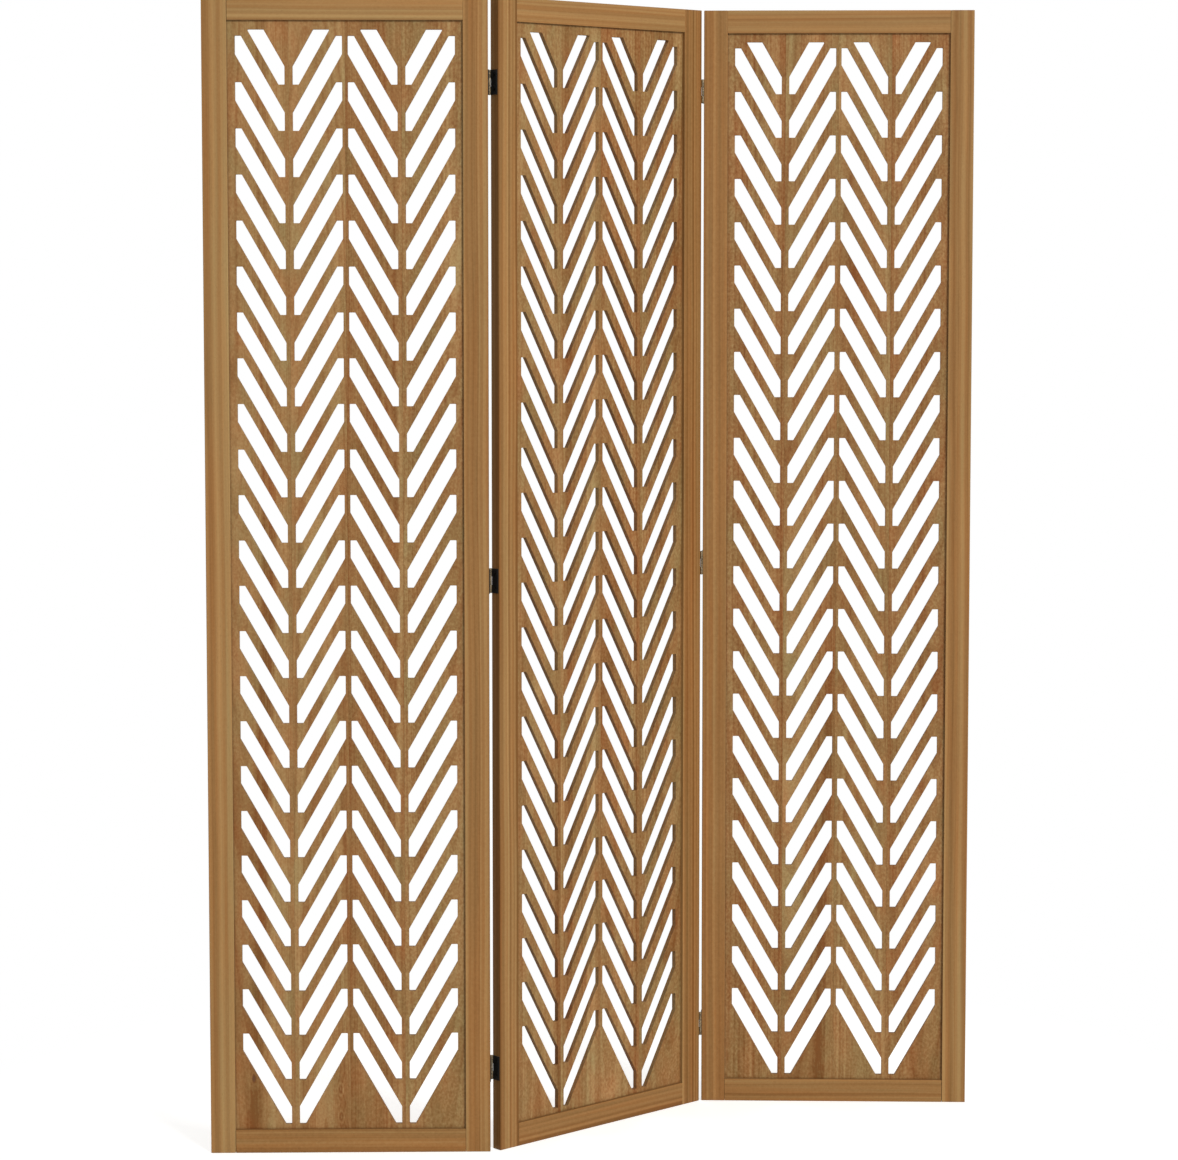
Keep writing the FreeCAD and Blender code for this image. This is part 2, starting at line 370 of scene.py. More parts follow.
@dataclass(frozen=True)
class PanelPlace:
    """Where one panel stands."""

    name: str
    corner: Vector  # its lower left front corner, in metres
    angle: float  # its turn about the vertical, in degrees

    @property
    def matrix(self) -> Matrix:
        """Turns millimetres in the panel's plan into metres in the frame."""
        turn = Matrix.Rotation(math.radians(self.angle), 4, "Z")
        return Matrix.Translation(self.corner) @ turn @ Matrix.Scale(MM, 4)

    def beyond(self, name: str, axis: Vector, turn: float, width: float) -> "PanelPlace":
        """The place of the panel on the other side of this one's right-hand joint.

        Args:
            name: The next panel's name.
            axis: A point of the joint's axis, in metres.
            turn: How far the next panel is turned from this one, in degrees.
            width: A panel's width in millimetres.

        Returns:
            The next panel's place.
        """
        own = self.matrix.inverted() @ axis
        unplaced = PanelPlace(name, Vector(), self.angle + turn)
        arm = unplaced.matrix @ Vector((width - own.x, own.y, 0))
        return PanelPlace(name, Vector((axis.x - arm.x, axis.y - arm.y, 0)), unplaced.angle)


def standing_places(plan: PanelPlan) -> list[PanelPlace]:
    """Works out where the panels stand from the joints, whose lower limits are a flat screen.

    Args:
        plan: The panels' sizes.

    Returns:
        The left, centre and right panels' places.
    """
    joints = {joint["child"]: joint for joint in frame["joints"]}
    (left_axis, left_turn), (right_axis, right_turn) = (
        (Vector(joints[child]["pos_m"]), joints[child]["range_deg"][0])
        for child in ("left_panel", "right_panel")
    )
    left = PanelPlace("left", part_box("left_panel_left_stile")[0], 0.0)
    centre = left.beyond("centre", left_axis, -left_turn, plan.width)
    return [left, centre, centre.beyond("right", right_axis, right_turn, plan.width)]


# Wood: how each piece was sawn and how it came out of the stain


class Tone(Enum):
    """How a board took the stain: how pale, how red and how figured it is, each from -1 to 1."""

    BLOND = (0.4, -0.3, 0.3)
    PALE = (0.1, -0.1, 0.3)
    HONEY = (0.16, 0.1, 0.4)
    AMBER = (0.02, 0.0, 0.5)
    OLIVE = (0.04, -0.4, 0.6)
    TAWNY = (-0.13, -0.4, 0.6)
    CINNAMON = (-0.13, 0.4, 0.6)
    UMBER = (-0.35, 0.25, 0.5)


class Sawing(Enum):
    """Where the pith lay from a piece's middle: aside and behind it in millimetres, and its lean
    along the piece, aside and backwards, in millimetres per metre.
    """

    QUARTER = (-190.0, 35.0, 2.0, 0.0)
    RIFT = (-75.0, 80.0, 5.0, 3.0)
    RIFT_TURNED = (82.0, 74.0, -4.0, 4.0)
    CROWN = (6.0, 46.0, 9.0, 34.0)
    CROWN_ASIDE = (-24.0, 38.0, -12.0, -42.0)
    HALF_CROWN = (36.0, 52.0, 16.0, -26.0)


TREE_STEP = 2600.0  # millimetres along the tree from one piece's place to the next one's
YEARS_STEP = 73.0  # millimetres of growth from one piece's rings to the next one's
PLANED_WALL_SHADE = 0.35  # how much painted shade darkens the planed walls that run along the grain
SAWN_WALL_GRAIN_AND_SHADE = 0.45  # the same on the walls of the sawn slots, partly their open sawn grain and partly painted shade


@dataclass(frozen=True)
class Knot:
    """A pin knot, or a pair of them one above the other. Sizes are in millimetres in the plan."""

    across: float
    along: float
    size: float
    core: float = 0.8  # how dark its middle is
    rings: float = 0.1  # how clearly the grain rings it
    half_spacing: float = 0.0  # of a pair, from its middle


@dataclass(frozen=True)
class Streak:
    """A long dark mineral streak, or a pale one where its depth is negative. Sizes as for a knot."""

    across: float
    along: float
    width: float
    reach: float
    depth: float
    lean: float = 0.0  # millimetres aside per metre along


@dataclass(frozen=True)
class Timber:
    """One piece of wood: its stain, its sawing and what marks it."""

    tone: Tone
    sawing: Sawing
    streak: Streak | None = None
    knot: Knot | None = None
    contrast: float = 1.0  # how clearly its bands show

    def mark(self, mesh: Mesh, number: int, along: int, pierced: bool = False) -> None:
        """Writes the piece's place in the tree and its marks to a mesh in the panel's plan.

        Args:
            mesh: The piece's mesh, in millimetres.
            number: The piece's number, which keeps its part of the tree apart.
            along: The axis of the plan that the grain follows.
            pierced: Whether walls along the grain are sawn ones, as in the lattice.
        """
        points = np.empty(len(mesh.vertices) * 3, np.float32)
        mesh.vertices.foreach_get("co", points)
        points = points.reshape(-1, 3)
        middle = (points.min(0) + points.max(0)) / 2
        aside, behind, lean_aside, lean_behind = self.sawing.value
        across = ACROSS if along == UPRIGHT else UPRIGHT

        def in_tree(place_across: Any, place_along: Any) -> tuple[Any, Any]:
            """A place on the piece, across and along the tree."""
            run = place_along - middle[along]
            shift = aside + lean_aside * MM * run
            return place_across - middle[across] + shift, run + number * TREE_STEP

        x, z = in_tree(points[:, across], points[:, along])
        run = points[:, along] - middle[along]
        y = points[:, DEPTH] - middle[DEPTH] + behind + lean_behind * MM * run
        marks = {"tone": self.tone.value, "growth": (number * YEARS_STEP, self.contrast, 0.0)}
        if self.knot:
            knot = self.knot
            marks["knot"] = (*in_tree(knot.across, knot.along), knot.size)
            marks["knot_kind"] = (knot.half_spacing, knot.core, knot.rings)
        if self.streak:
            streak = self.streak
            lean = (lean_aside + streak.lean) * MM
            marks["streak"] = (*in_tree(streak.across, streak.along), -lean)
            marks["streak_kind"] = (streak.width, streak.reach, streak.depth)
        values = {name: np.tile(np.float32(mark), len(points)) for name, mark in marks.items()}
        values["grain"] = np.column_stack((x, y, z)).astype(np.float32).ravel()
        values["plan"] = points.ravel()
        for name, value in values.items():
            attribute = mesh.attributes.new(name, "FLOAT_VECTOR", "POINT")
            attribute.data.foreach_set("vector", value)

        # Walls across the grain show its open ends, which take the stain darker, and every wall along
        # it gets a painted shade
        normals = np.empty(len(mesh.polygons) * 3, np.float32)
        mesh.polygons.foreach_get("normal", normals)
        normals = np.abs(normals.reshape(-1, 3))
        least = SAWN_WALL_GRAIN_AND_SHADE if pierced else PLANED_WALL_SHADE
        open_grain = (1 - normals[:, DEPTH]) * (least + (1 - least) * normals[:, along])
        attribute = mesh.attributes.new("open_grain", "FLOAT", "FACE")
        attribute.data.foreach_set("value", open_grain.astype(np.float32))


@dataclass(frozen=True)
class StainedTimber:
    """Brown-stained hardwood, planed and rubbed with a thin satin lacquer.

    The stain sinks unevenly into the growth rings, which gives long soft bands and streaks from pale
    tan to brown, leaning to olive in one board and to russet in the next. Sizes are in millimetres.
    Depths are shares of the way from the darkest streak to the palest.
    """

    name: str
    olive: tuple[str, str, str]  # darkest streak, body, palest streak
    russet: tuple[str, str, str]
    # the dark colour of open grain, also used for the painted shade on walls along the grain and in
    # the boards' corners
    open_grain: str
    knot: str
    band: Point  # width and depth, as for the next two
    streak: Point
    ring: Point
    patch: tuple[float, float, float]  # width, length and depth, as for the figure
    figure: tuple[float, float, float]
    wander: float
    cast: Point  # width and length of the patches that lean to olive or to russet
    open_grain_and_shade_share: float  # how far open grain and the walls' painted shade darken the colour
    band_start: float = 11.0  # where each noise is read, so that the two differ
    streak_start: float = 71.0
    late_wood: Point = (0.62, 0.97)  # the share of a ring where its dark line starts and is full
    late_level: float = 0.75
    fibre: tuple[float, float, float] = (0.9, 55.0, 0.16)  # coarser than real fibres, so it shows
    pore: tuple[float, float, float] = (0.55, 7.0, 0.35)
    pore_edge: Point = (0.63, 0.74)  # the noise's levels at a pore's rim and in its middle
    wander_spot: Point = (70.0, 520.0)  # width and length of a bend in the grain
    knot_squash: float = 0.45  # a knot's width beside its length
    knot_bulge: tuple[float, float, float] = (0.0, 4.0, 1.6)  # from, to, in its sizes, and how much
    knot_core: tuple[float, float, float] = (0.3, 1.1, 1.0)
    knot_ringed: tuple[float, float, float] = (0.6, 2.6, 1.0)
    knot_waves: Point = (5.5, 1.6)  # how close its rings are, and where they start
    streak_sides: Point = (0.0, 1.7)  # where a mineral streak starts to fade and ends, in widths
    streak_ends: Point = (0.4, 1.0)  # the same along it, as shares of its reach
    thread_spot: Point = (2.6, 130.0)  # width and length of a mineral streak's dark threads
    thread_levels: Point = (2.4, -0.2)
    tone_depth: float = 0.42
    cast_depth: float = 1.5
    cast_roughness: float = 0.54
    tone_cast: float = 0.16
    corner_shade_width: float = 3.2  # of the painted shade along the frame's inner corner, where the frame shades the boards
    # how dark that painted shade is right at the corner
    corner_shade_share: float = 0.3
    roughness: Point = (0.56, 0.44)  # in the dark streaks and in the pale ones
    open_roughness: float = 0.2  # added where the grain is open
    pore_height: float = -2.0
    bump_strength: float = 0.25
    bump_height: float = 0.15
    ior: float = 1.5
    specular: float = 0.22

    def material(self, opening: tuple[Vector, Vector] | None = None) -> Material:
        """Builds the finish as a material.

        Args:
            opening: For boards, the lower left and upper right corners of the frame's opening.

        Returns:
            The material, which reads the attributes that Timber.mark writes.
        """
        material, add = new_material(self.name)
        grain = self._mark(add, "grain")
        tone = self._parts(add, "tone")
        open_grain = add("Attribute", out="Fac", attribute_name="open_grain")
        # The grain wanders: the place in the tree moves about slowly
        drift = self._noise(add, grain, *self.wander_spot, 1.0, out="Color")
        drift = add("VectorMath", drift, (0.5, 0.5, 0.5), operation="SUBTRACT")
        reach = (self.wander, self.wander, 0.0)
        here = add("VectorMath", drift, reach, grain, operation="MULTIPLY_ADD")

        section = add("VectorMath", here, (1.0, 1.0, 0.0), operation="MULTIPLY")
        radius = add("VectorMath", section, out="Value", operation="LENGTH")
        bulge, core, rings = self._knot(add, here)
        radius = add("Math", radius, bulge, operation="ADD")
        value = self._lightness(add, grain, radius, tone, [rings, self._streak(add, here)])
        colour = self._colour(add, grain, value, tone[1])
        # Open pores are short dark dashes that lie along the grain
        speck = self._noise(add, grain, *self.pore[:2], 1.0)
        pores = add("MapRange", speck, *self.pore_edge, 0.0, self.pore[2], **SMOOTH)
        # Open grain, and the painted shade on walls along the grain, darken towards the open-grain
        # colour
        stained = add("Math", open_grain, self.open_grain_and_shade_share, operation="MULTIPLY")
        darkenings = [(pores, self.olive[0]), (core, self.knot), (stained, self.open_grain)]
        # Painted shade: boards darken next to the frame round them, in place of the frame's shadow
        if opening:
            darkenings.append((self._painted_corner_shade(add, *opening), self.open_grain))
        for share, dark in darkenings:
            colour = add("Mix", share, more={6: colour, 7: linear(dark)}, out=2, data_type="RGBA")

        roughness = add("MapRange", value, 0.0, 1.0, *self.roughness)
        roughness = add("Math", open_grain, self.open_roughness, roughness, operation="MULTIPLY_ADD")
        height = add("Math", pores, self.pore_height, value, operation="MULTIPLY_ADD")
        bump = {"Height": height, "Strength": self.bump_strength, "Distance": self.bump_height * MM}
        looks = {
            "Base Color": colour,
            "Roughness": roughness,
            "Normal": add("Bump", more=bump),
            "IOR": self.ior,
            "Specular IOR Level": self.specular,
        }
        add("OutputMaterial", add("BsdfPrincipled", more=looks), out=None)
        return material

    @staticmethod
    def _mark(add: Adder, name: str) -> NodeSocket:
        """One of the vectors that Timber.mark writes."""
        return add("Attribute", out="Vector", attribute_name=name)

    def _parts(self, add: Adder, vector: NodeSocket | str) -> list[NodeSocket]:
        """The three parts of a vector, or of a mark by its name."""
        vector = self._mark(add, vector) if isinstance(vector, str) else vector
        return list(add("SeparateXYZ", vector, out=None).outputs)

    @staticmethod
    def _noise(
        add: Adder,
        grain: NodeSocket,
        width: float,
        length: float,
        detail: float = 2.0,
        roughness: float = 0.5,
        out: str | int = 0,
    ) -> NodeSocket:
        """A noise drawn out along the grain.

        Args:
            add: Adds a node to the material.
            grain: The place in the tree.
            width: The size of its spots across the grain, in millimetres.
            length: Their size along it.
            detail: How many times finer spots are added.
            roughness: How strong each finer set of spots is beside the one before.
            out: Which of the noise's outputs is wanted.

        Returns:
            The noise.
        """
        place = add("VectorMath", grain, (1 / width, 1 / width, 1 / length), operation="MULTIPLY")
        look = {"Vector": place, "Scale": 1.0, "Detail": detail, "Roughness": roughness}
        return add("TexNoise", more=look, out=out)

    def _painted_corner_shade(self, add: Adder, low: Vector, high: Vector) -> NodeSocket:
        """How much painted shade darkens a board here, next to the frame round it, where the frame
        shades it.

        Args:
            add: Adds a node to the material.
            low: The lower left corner of the frame's opening, in the panel's plan.
            high: Its upper right corner.

        Returns:
            The share.
        """
        place = add("VectorMath", self._mark(add, "plan"), (low + high) / 2, operation="SUBTRACT")
        place = add("VectorMath", place, operation="ABSOLUTE")
        place = add("VectorMath", place, (high - low) / 2, operation="SUBTRACT")
        across, _, upright = self._parts(add, place)
        nearest = add("Math", across, upright, operation="MAXIMUM")
        return add("MapRange", nearest, -self.corner_shade_width, 0.0, 0.0, self.corner_shade_share, **SMOOTH)

    def _knot(self, add: Adder, here: NodeSocket) -> tuple[NodeSocket, NodeSocket, NodeSocket]:
        """What a knot does here, if the piece has one.

        Args:
            add: Adds a node to the material.
            here: The wandering place in the tree.

        Returns:
            How far it pushes the growth rings aside, how much of its dark core shows, and how much
            its own rings lighten or darken the wood.
        """
        across, along, size = self._parts(add, "knot")
        half_spacing, core, rings = self._parts(add, "knot_kind")
        x, _, z = self._parts(add, here)
        aside = add("Math", x, across, operation="SUBTRACT")
        lift = add("Math", z, along, operation="SUBTRACT")
        lift = add("Math", lift, operation="ABSOLUTE")
        lift = add("Math", lift, half_spacing, operation="SUBTRACT")
        lift = add("Math", lift, self.knot_squash, operation="MULTIPLY")
        away = add("VectorMath", add("CombineXYZ", aside, lift), out="Value", operation="LENGTH")
        away = add("Math", away, size, operation="DIVIDE")
        bulge, middle, ringed = (
            add("MapRange", away, inner, outer, amount, 0.0, **SMOOTH)
            for inner, outer, amount in (self.knot_bulge, self.knot_core, self.knot_ringed)
        )
        bulge = add("Math", bulge, size, operation="MULTIPLY")
        core = add("Math", middle, core, operation="MULTIPLY")
        wave = add("Math", away, *self.knot_waves, operation="MULTIPLY_ADD")
        wave = add("Math", wave, operation="SINE")
        for share in (ringed, rings):
            wave = add("Math", wave, share, operation="MULTIPLY")
        return bulge, core, wave

    def _streak(self, add: Adder, here: NodeSocket) -> NodeSocket:
        """How much a mineral streak lightens or darkens the wood here, if the piece has one.

        Args:
            add: Adds a node to the material.
            here: The wandering place in the tree.

        Returns:
            The change of lightness.
        """
        across, along, lean = self._parts(add, "streak")
        width, reach, depth = self._parts(add, "streak_kind")
        x, _, z = self._parts(add, here)
        aside = add("Math", x, across, operation="SUBTRACT")
        lift = add("Math", z, along, operation="SUBTRACT")
        aside = add("Math", lift, lean, aside, operation="MULTIPLY_ADD")
        change = add("Math", depth, -1.0, operation="MULTIPLY")
        sides, ends = self.streak_sides, self.streak_ends
        for way, size, fade in ((aside, width, sides), (lift, reach, ends)):
            away = add("Math", add("Math", way, operation="ABSOLUTE"), size, operation="DIVIDE")
            share = add("MapRange", away, *fade, 1.0, 0.0, **SMOOTH)
            change = add("Math", change, share, operation="MULTIPLY")
        # It lies in the wood as many dark threads
        threads = self._noise(add, here, *self.thread_spot, 3.0)
        threads = add("Math", threads, *self.thread_levels, operation="MULTIPLY_ADD")
        return add("Math", change, threads, operation="MULTIPLY")

    def _lightness(
        self,
        add: Adder,
        grain: NodeSocket,
        radius: NodeSocket,
        tone: list[NodeSocket],
        marks: list[NodeSocket],
    ) -> NodeSocket:
        """Where a point lies between the darkest streak, 0, and the palest, 1.

        Args:
            add: Adds a node to the material.
            grain: The place in the tree.
            radius: The distance from the pith.
            tone: The board's stain, part by part.
            marks: How much its knot and its streak lighten the wood here.

        Returns:
            The lightness.
        """
        years, contrast, _ = self._parts(add, "growth")
        radius = add("Math", radius, years, operation="ADD")
        centred = []
        bands = ((self.band, 1.0, self.band_start), (self.streak, 3.0, self.streak_start))
        for (width, depth), detail, start in bands:
            ring = add("Math", radius, 1 / width, start, operation="MULTIPLY_ADD")
            look = {"W": ring, "Scale": 1.0, "Detail": detail}
            centred.append((add("TexNoise", more=look, noise_dimensions="1D"), contrast, depth))
        figure = self._noise(add, grain, *self.figure[:2], 3.0)
        centred.append((figure, tone[2], self.figure[2]))

        # Each ring ends in a narrow dark line of late wood
        ring = add("Math", radius, 1 / self.ring[0], operation="MULTIPLY")
        ring = add("Math", ring, operation="FRACT")
        late = add("MapRange", ring, *self.late_wood, self.late_level, 0.0, **SMOOTH)
        fibre = self._noise(add, grain, *self.fibre[:2], 3.0)
        patch = self._noise(add, grain, *self.patch[:2])
        signals = [(late, self.ring[1]), (fibre, self.fibre[2]), (patch, self.patch[2])]

        centre = 0.5 - sum(depth for _, depth in signals) / 2
        value = add("Math", tone[0], self.tone_depth, centre, operation="MULTIPLY_ADD")
        for signal, strength, depth in centred:
            signal = add("Math", signal, 0.5, operation="SUBTRACT")
            signals.append((add("Math", signal, strength, operation="MULTIPLY"), depth))
        for signal, depth in signals:
            value = add("Math", signal, depth, value, operation="MULTIPLY_ADD")
        for mark in marks:
            value = add("Math", value, mark, operation="ADD")
        return value

    def _colour(
        self, add: Adder, grain: NodeSocket, value: NodeSocket, redness: NodeSocket
    ) -> NodeSocket:
        """The stained colour for a lightness, between the olive and the russet range.

        Args:
            add: Adds a node to the material.
            grain: The place in the tree.
            value: The lightness.
            redness: How red the board's stain is.

        Returns:
            The colour.
        """
        ranges = {}
        for socket, (dark, body, pale) in ((6, self.olive), (7, self.russet)):
            ramp = add("ValToRGB", value, out=None)
            ramp.color_ramp.elements[0].color = linear(dark)
            ramp.color_ramp.elements[1].color = linear(pale)
            ramp.color_ramp.elements.new(0.5).color = linear(body)
            ranges[socket] = ramp.outputs[0]
        cast = self._noise(add, grain, *self.cast, 4.0, self.cast_roughness)
        depth = self.cast_depth
        cast = add("Math", cast, depth, 0.5 - depth / 2, operation="MULTIPLY_ADD")
        cast = add("Math", redness, self.tone_cast, cast, operation="MULTIPLY_ADD", use_clamp=True)
        return add("Mix", cast, more=ranges, out=2, data_type="RGBA")


FRAME_TIMBER = StainedTimber(
    name="stained_hardwood_frame",
    olive=("#705126", "#8E6E41", "#A68C5B"),
    russet=("#804C1C", "#9E6A36", "#B68650"),
    open_grain="#4A2F16",
    knot="#5A3017",
    band=(12.0, 1.4),
    streak=(3.4, 0.55),
    ring=(5.5, 0.15),
    patch=(30.0, 420.0, 0.35),
    figure=(4.0, 4.0, 0.6),
    wander=7.0,
    cast=(11.0, 380.0),
    open_grain_and_shade_share=0.8,
)

BOARD_TIMBER = StainedTimber(
    name="stained_hardwood_boards",
    olive=("#6D4D22", "#866E41", "#A08E5E"),
    russet=("#824415", "#9B6537", "#B58554"),
    open_grain="#3F2A16",
    knot="#54301C",
    band=(19.0, 0.65),
    streak=(4.4, 0.55),
    ring=(6.0, 0.2),
    patch=(34.0, 130.0, 0.5),
    figure=(3.4, 4.6, 1.95),
    wander=16.0,
    cast=(36.0, 100.0),
    open_grain_and_shade_share=0.28,
)


@dataclass(frozen=True)
class SteelFinish:
    """Small steel hinge parts, with a fine unevenness and rubbed spots. Sizes are in millimetres.

    Enamel is a dull black skin. On the knuckles it wears through to brown metal, left in dark spots of
    enamel; that brown also stands in for the knuckles' highlights, a painted highlight. Black oxide is
    a dark, dull conversion coat on the bare metal.
    """

    name: str
    colour: str
    rubbed: str
    metallic: float
    roughness: float
    ripple: float  # size of the unevenness
    rub: float  # size of the rubbed spots
    rub_amount: float
    wear_and_highlight: str = ""  # the knuckles' bare metal, which is partly a painted highlight on them
    worn_spot: float = 2.2  # size of the spots left on them
    worn_metallic: float = 0.6
    specular: float = 0.3
    rub_edge: Point = (0.6, 0.72)  # the noise's levels where a rubbed spot starts and is full
    worn_edge: Point = (0.4, 0.52)  # the same for the knuckles' bare metal and painted highlight
    worn_least: float = 0.3  # how bare the spots left on them are
    ripple_levels: Point = (0.3, 0.7)
    duller: float = 0.08  # how much rougher the highest ripples are
    glossier: float = 0.06  # how much smoother the lowest ones are
    bump_strength: float = 0.15
    bump_height: float = 0.05

    def material(self) -> Material:
        """Builds the finish as a material."""
        material, add = new_material(self.name)
        place = add("TexCoord", out="Object")
        ripple = add("TexNoise", more={"Vector": place, "Scale": 1 / (self.ripple * MM)})
        look = {"Vector": place, "Scale": 1 / (self.rub * MM), "Detail": 4.0}
        rubbed = add("TexNoise", more=look)
        rubbed = add("MapRange", rubbed, *self.rub_edge, 0.0, self.rub_amount)
        colours = {6: linear(self.colour), 7: linear(self.rubbed)}
        colour = add("Mix", rubbed, more=colours, out=2, data_type="RGBA")
        metallic: Any = self.metallic
        if self.wear_and_highlight:
            # The bare metal, partly a painted highlight, shows on the knuckles only, between the spots
            # of enamel left on them
            knuckle = add("Attribute", out="Fac", attribute_name="knuckle")
            spots = add("TexNoise", more={"Vector": place, "Scale": 1 / (self.worn_spot * MM)})
            bare = add("MapRange", spots, *self.worn_edge, self.worn_least)
            wear_and_highlight = add("Math", knuckle, bare, operation="MULTIPLY")
            colours = {6: colour, 7: linear(self.wear_and_highlight)}
            colour = add("Mix", wear_and_highlight, more=colours, out=2, data_type="RGBA")
            metallic = add("Math", wear_and_highlight, self.worn_metallic, operation="MULTIPLY")
        low, high = self.roughness - self.glossier, self.roughness + self.duller
        bump = {"Height": ripple, "Strength": self.bump_strength, "Distance": self.bump_height * MM}
        looks = {
            "Base Color": colour,
            "Metallic": metallic,
            "Roughness": add("MapRange", ripple, *self.ripple_levels, low, high),
            "Normal": add("Bump", more=bump),
            "Specular IOR Level": self.specular,
        }
        add("OutputMaterial", add("BsdfPrincipled", more=looks), out=None)
        return material


# The enamel's last colour is the knuckles' bare metal, which also serves as a painted highlight on
# them
BLACK_ENAMEL = SteelFinish(
    "black_enamel", "#141312", "#3C3833", 0.0, 0.5, 0.9, 2.6, 0.5, wear_and_highlight="#8A7A60"
)
BLACKENED_STEEL = SteelFinish("blackened_steel", "#5E5850", "#8A847A", 1.0, 0.42, 0.5, 1.5, 0.4)
BLACK_OXIDE = SteelFinish("black_oxide_steel", "#3A3733", "#6E6A63", 1.0, 0.42, 0.5, 1.2, 0.5)


# Pieces of one panel


def finish_piece(
    name: str, mesh: Mesh, place: PanelPlace, material: Material, node: str | None = None
) -> None:
    """Stands a piece in the frame, finishes it and hands it to its CAD body.

    Args:
        name: The piece's name.
        mesh: Its mesh, in millimetres in the panel's plan.
        place: Where the panel stands.
        material: Its finish.
        node: The CAD node that it stands for, if there is one.
    """
    mesh.transform(place.matrix)
    mesh.name = name
    mesh.materials.clear()
    mesh.materials.append(material)
    piece = shown(name, mesh)
    if node:
        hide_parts(node)
    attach(piece, f"{place.name}_panel")
    log.info("%s rides on the %s panel, %d faces", name, place.name, len(mesh.polygons))


class Shoulder(Enum):
    """How a rail's end meets the stile: the gap and how far its edges are eased, in millimetres."""

    TIGHT = (0.0, 0.12)
    FAIR = (0.2, 0.3)
    OPEN = (0.55, 0.4)


SHOULDERS = {
    ("left", "top_rail"): (Shoulder.OPEN, Shoulder.TIGHT),
    ("left", "bottom_rail"): (Shoulder.OPEN, Shoulder.FAIR),
    ("centre", "top_rail"): (Shoulder.TIGHT, Shoulder.TIGHT),
    ("centre", "bottom_rail"): (Shoulder.FAIR, Shoulder.TIGHT),
    ("right", "top_rail"): (Shoulder.TIGHT, Shoulder.FAIR),
    ("right", "bottom_rail"): (Shoulder.FAIR, Shoulder.OPEN),
}


@dataclass(frozen=True)
class Stile:
    """A full-height frame member, grooved for the boards and mortised for both rails."""

    plan: PanelPlan
    right_hand: bool = False
    outer_arris: float = 0.85
    inner_arris: float = 0.6
    end_arris: float = 0.8

    def mesh(self) -> Mesh:
        """Builds the left stile, or its mirror image, in the panel's plan."""
        plan = self.plan
        wide, deep = plan.stile_width, plan.thickness
        corners = [(0, 0), (wide, 0), (wide, deep), (0, deep)]
        radii = [self.outer_arris, self.inner_arris, self.inner_arris, self.outer_arris]
        outline = rounded(corners, radii, ARRIS_STEPS)
        rows = eased_rows(plan.height, self.end_arris, self.end_arris, way=-1)
        work = bmesh.new()
        add_wall(work, outline, rows, lambda p, z: (p[0], p[1], z), caps=True)

        # The groove stops at the mortises, short of the stile's ends, and is cut with them
        floor, mouth = wide - plan.groove_depth, wide + OVERRUN
        end = wide - plan.tenon_length - plan.mortise_end_gap
        low = plan.tenon_shoulder - plan.groove_clearance
        low_stop = plan.bottom_rail_width - plan.groove_depth
        high, high_stop = plan.height - low, plan.height - plan.top_rail_width + plan.groove_depth
        cut = [(end, low), (mouth, low), (mouth, high), (end, high), (end, high_stop)]
        cut += [(floor, high_stop), (floor, low_stop), (end, low_stop)]
        cutter = bmesh.new()
        depths = [(0.0, depth) for depth in plan.groove]
        add_wall(cutter, cut, depths, lambda p, y: (p[0], y, p[1]), caps=True)
        stile = combined(to_mesh(work, "stile"), cutter, "DIFFERENCE")
        if self.right_hand:
            stile.transform(Matrix.Translation((plan.width, 0, 0)) @ Matrix.Diagonal((-1, 1, 1, 1)))
            stile.flip_normals()
        return stile


@dataclass(frozen=True)
class Rail:
    """A level frame member between the stiles, with a groove and a stub tenon at each end."""

    plan: PanelPlan
    shoulders: tuple[Shoulder, Shoulder]
    top: bool
    arris: float = 0.8
    inner_arris: float = 0.6

    def mesh(self) -> Mesh:
        """Builds the bottom rail, or the top one upside down, in the panel's plan."""
        plan = self.plan
        high = plan.top_rail_width if self.top else plan.bottom_rail_width
        deep, (front, back) = plan.thickness, plan.groove
        floor = high - plan.groove_depth
        # The section is drawn as (y, z)
        corners = [(0, 0), (deep, 0), (deep, high), (back, high), (back, floor)]
        corners += [(front, floor), (front, high), (0, high)]
        radii = [self.arris, self.arris, self.inner_arris, 0, 0, 0, 0, self.inner_arris]
        start, finish = plan.stile_width, plan.width - plan.stile_width
        ends = [shoulder.value for shoulder in self.shoulders]
        if self.top:
            ends.reverse()
        (first_gap, first_ease), (last_gap, last_ease) = ends
        length = finish - start - first_gap - last_gap
        rows = eased_rows(length, first_ease, last_ease, way=-1, start=start + first_gap)
        outline = rounded(corners, radii, ARRIS_STEPS)
        work = bmesh.new()
        add_wall(work, outline, rows, lambda p, x: (x, p[0], p[1]), caps=True)

        tenons = bmesh.new()
        board_back, low = plan.board_front + plan.board_thickness, plan.tenon_shoulder
        section = [(plan.board_front, low), (board_back, low)]
        section += [(board_back, floor), (plan.board_front, floor)]
        for tip, root in (
            (start - plan.tenon_length, start + OVERRUN),
            (finish - OVERRUN, finish + plan.tenon_length),
        ):
            add_wall(tenons, section, [(0, tip), (0, root)], lambda p, x: (x, p[0], p[1]), caps=True)
        rail = combined(to_mesh(work, "rail"), tenons, "UNION")
        if self.top:
            turn = Matrix.Rotation(math.pi, 4, "Y")
            rail.transform(Matrix.Translation((plan.width, 0, plan.height)) @ turn)
        return rail


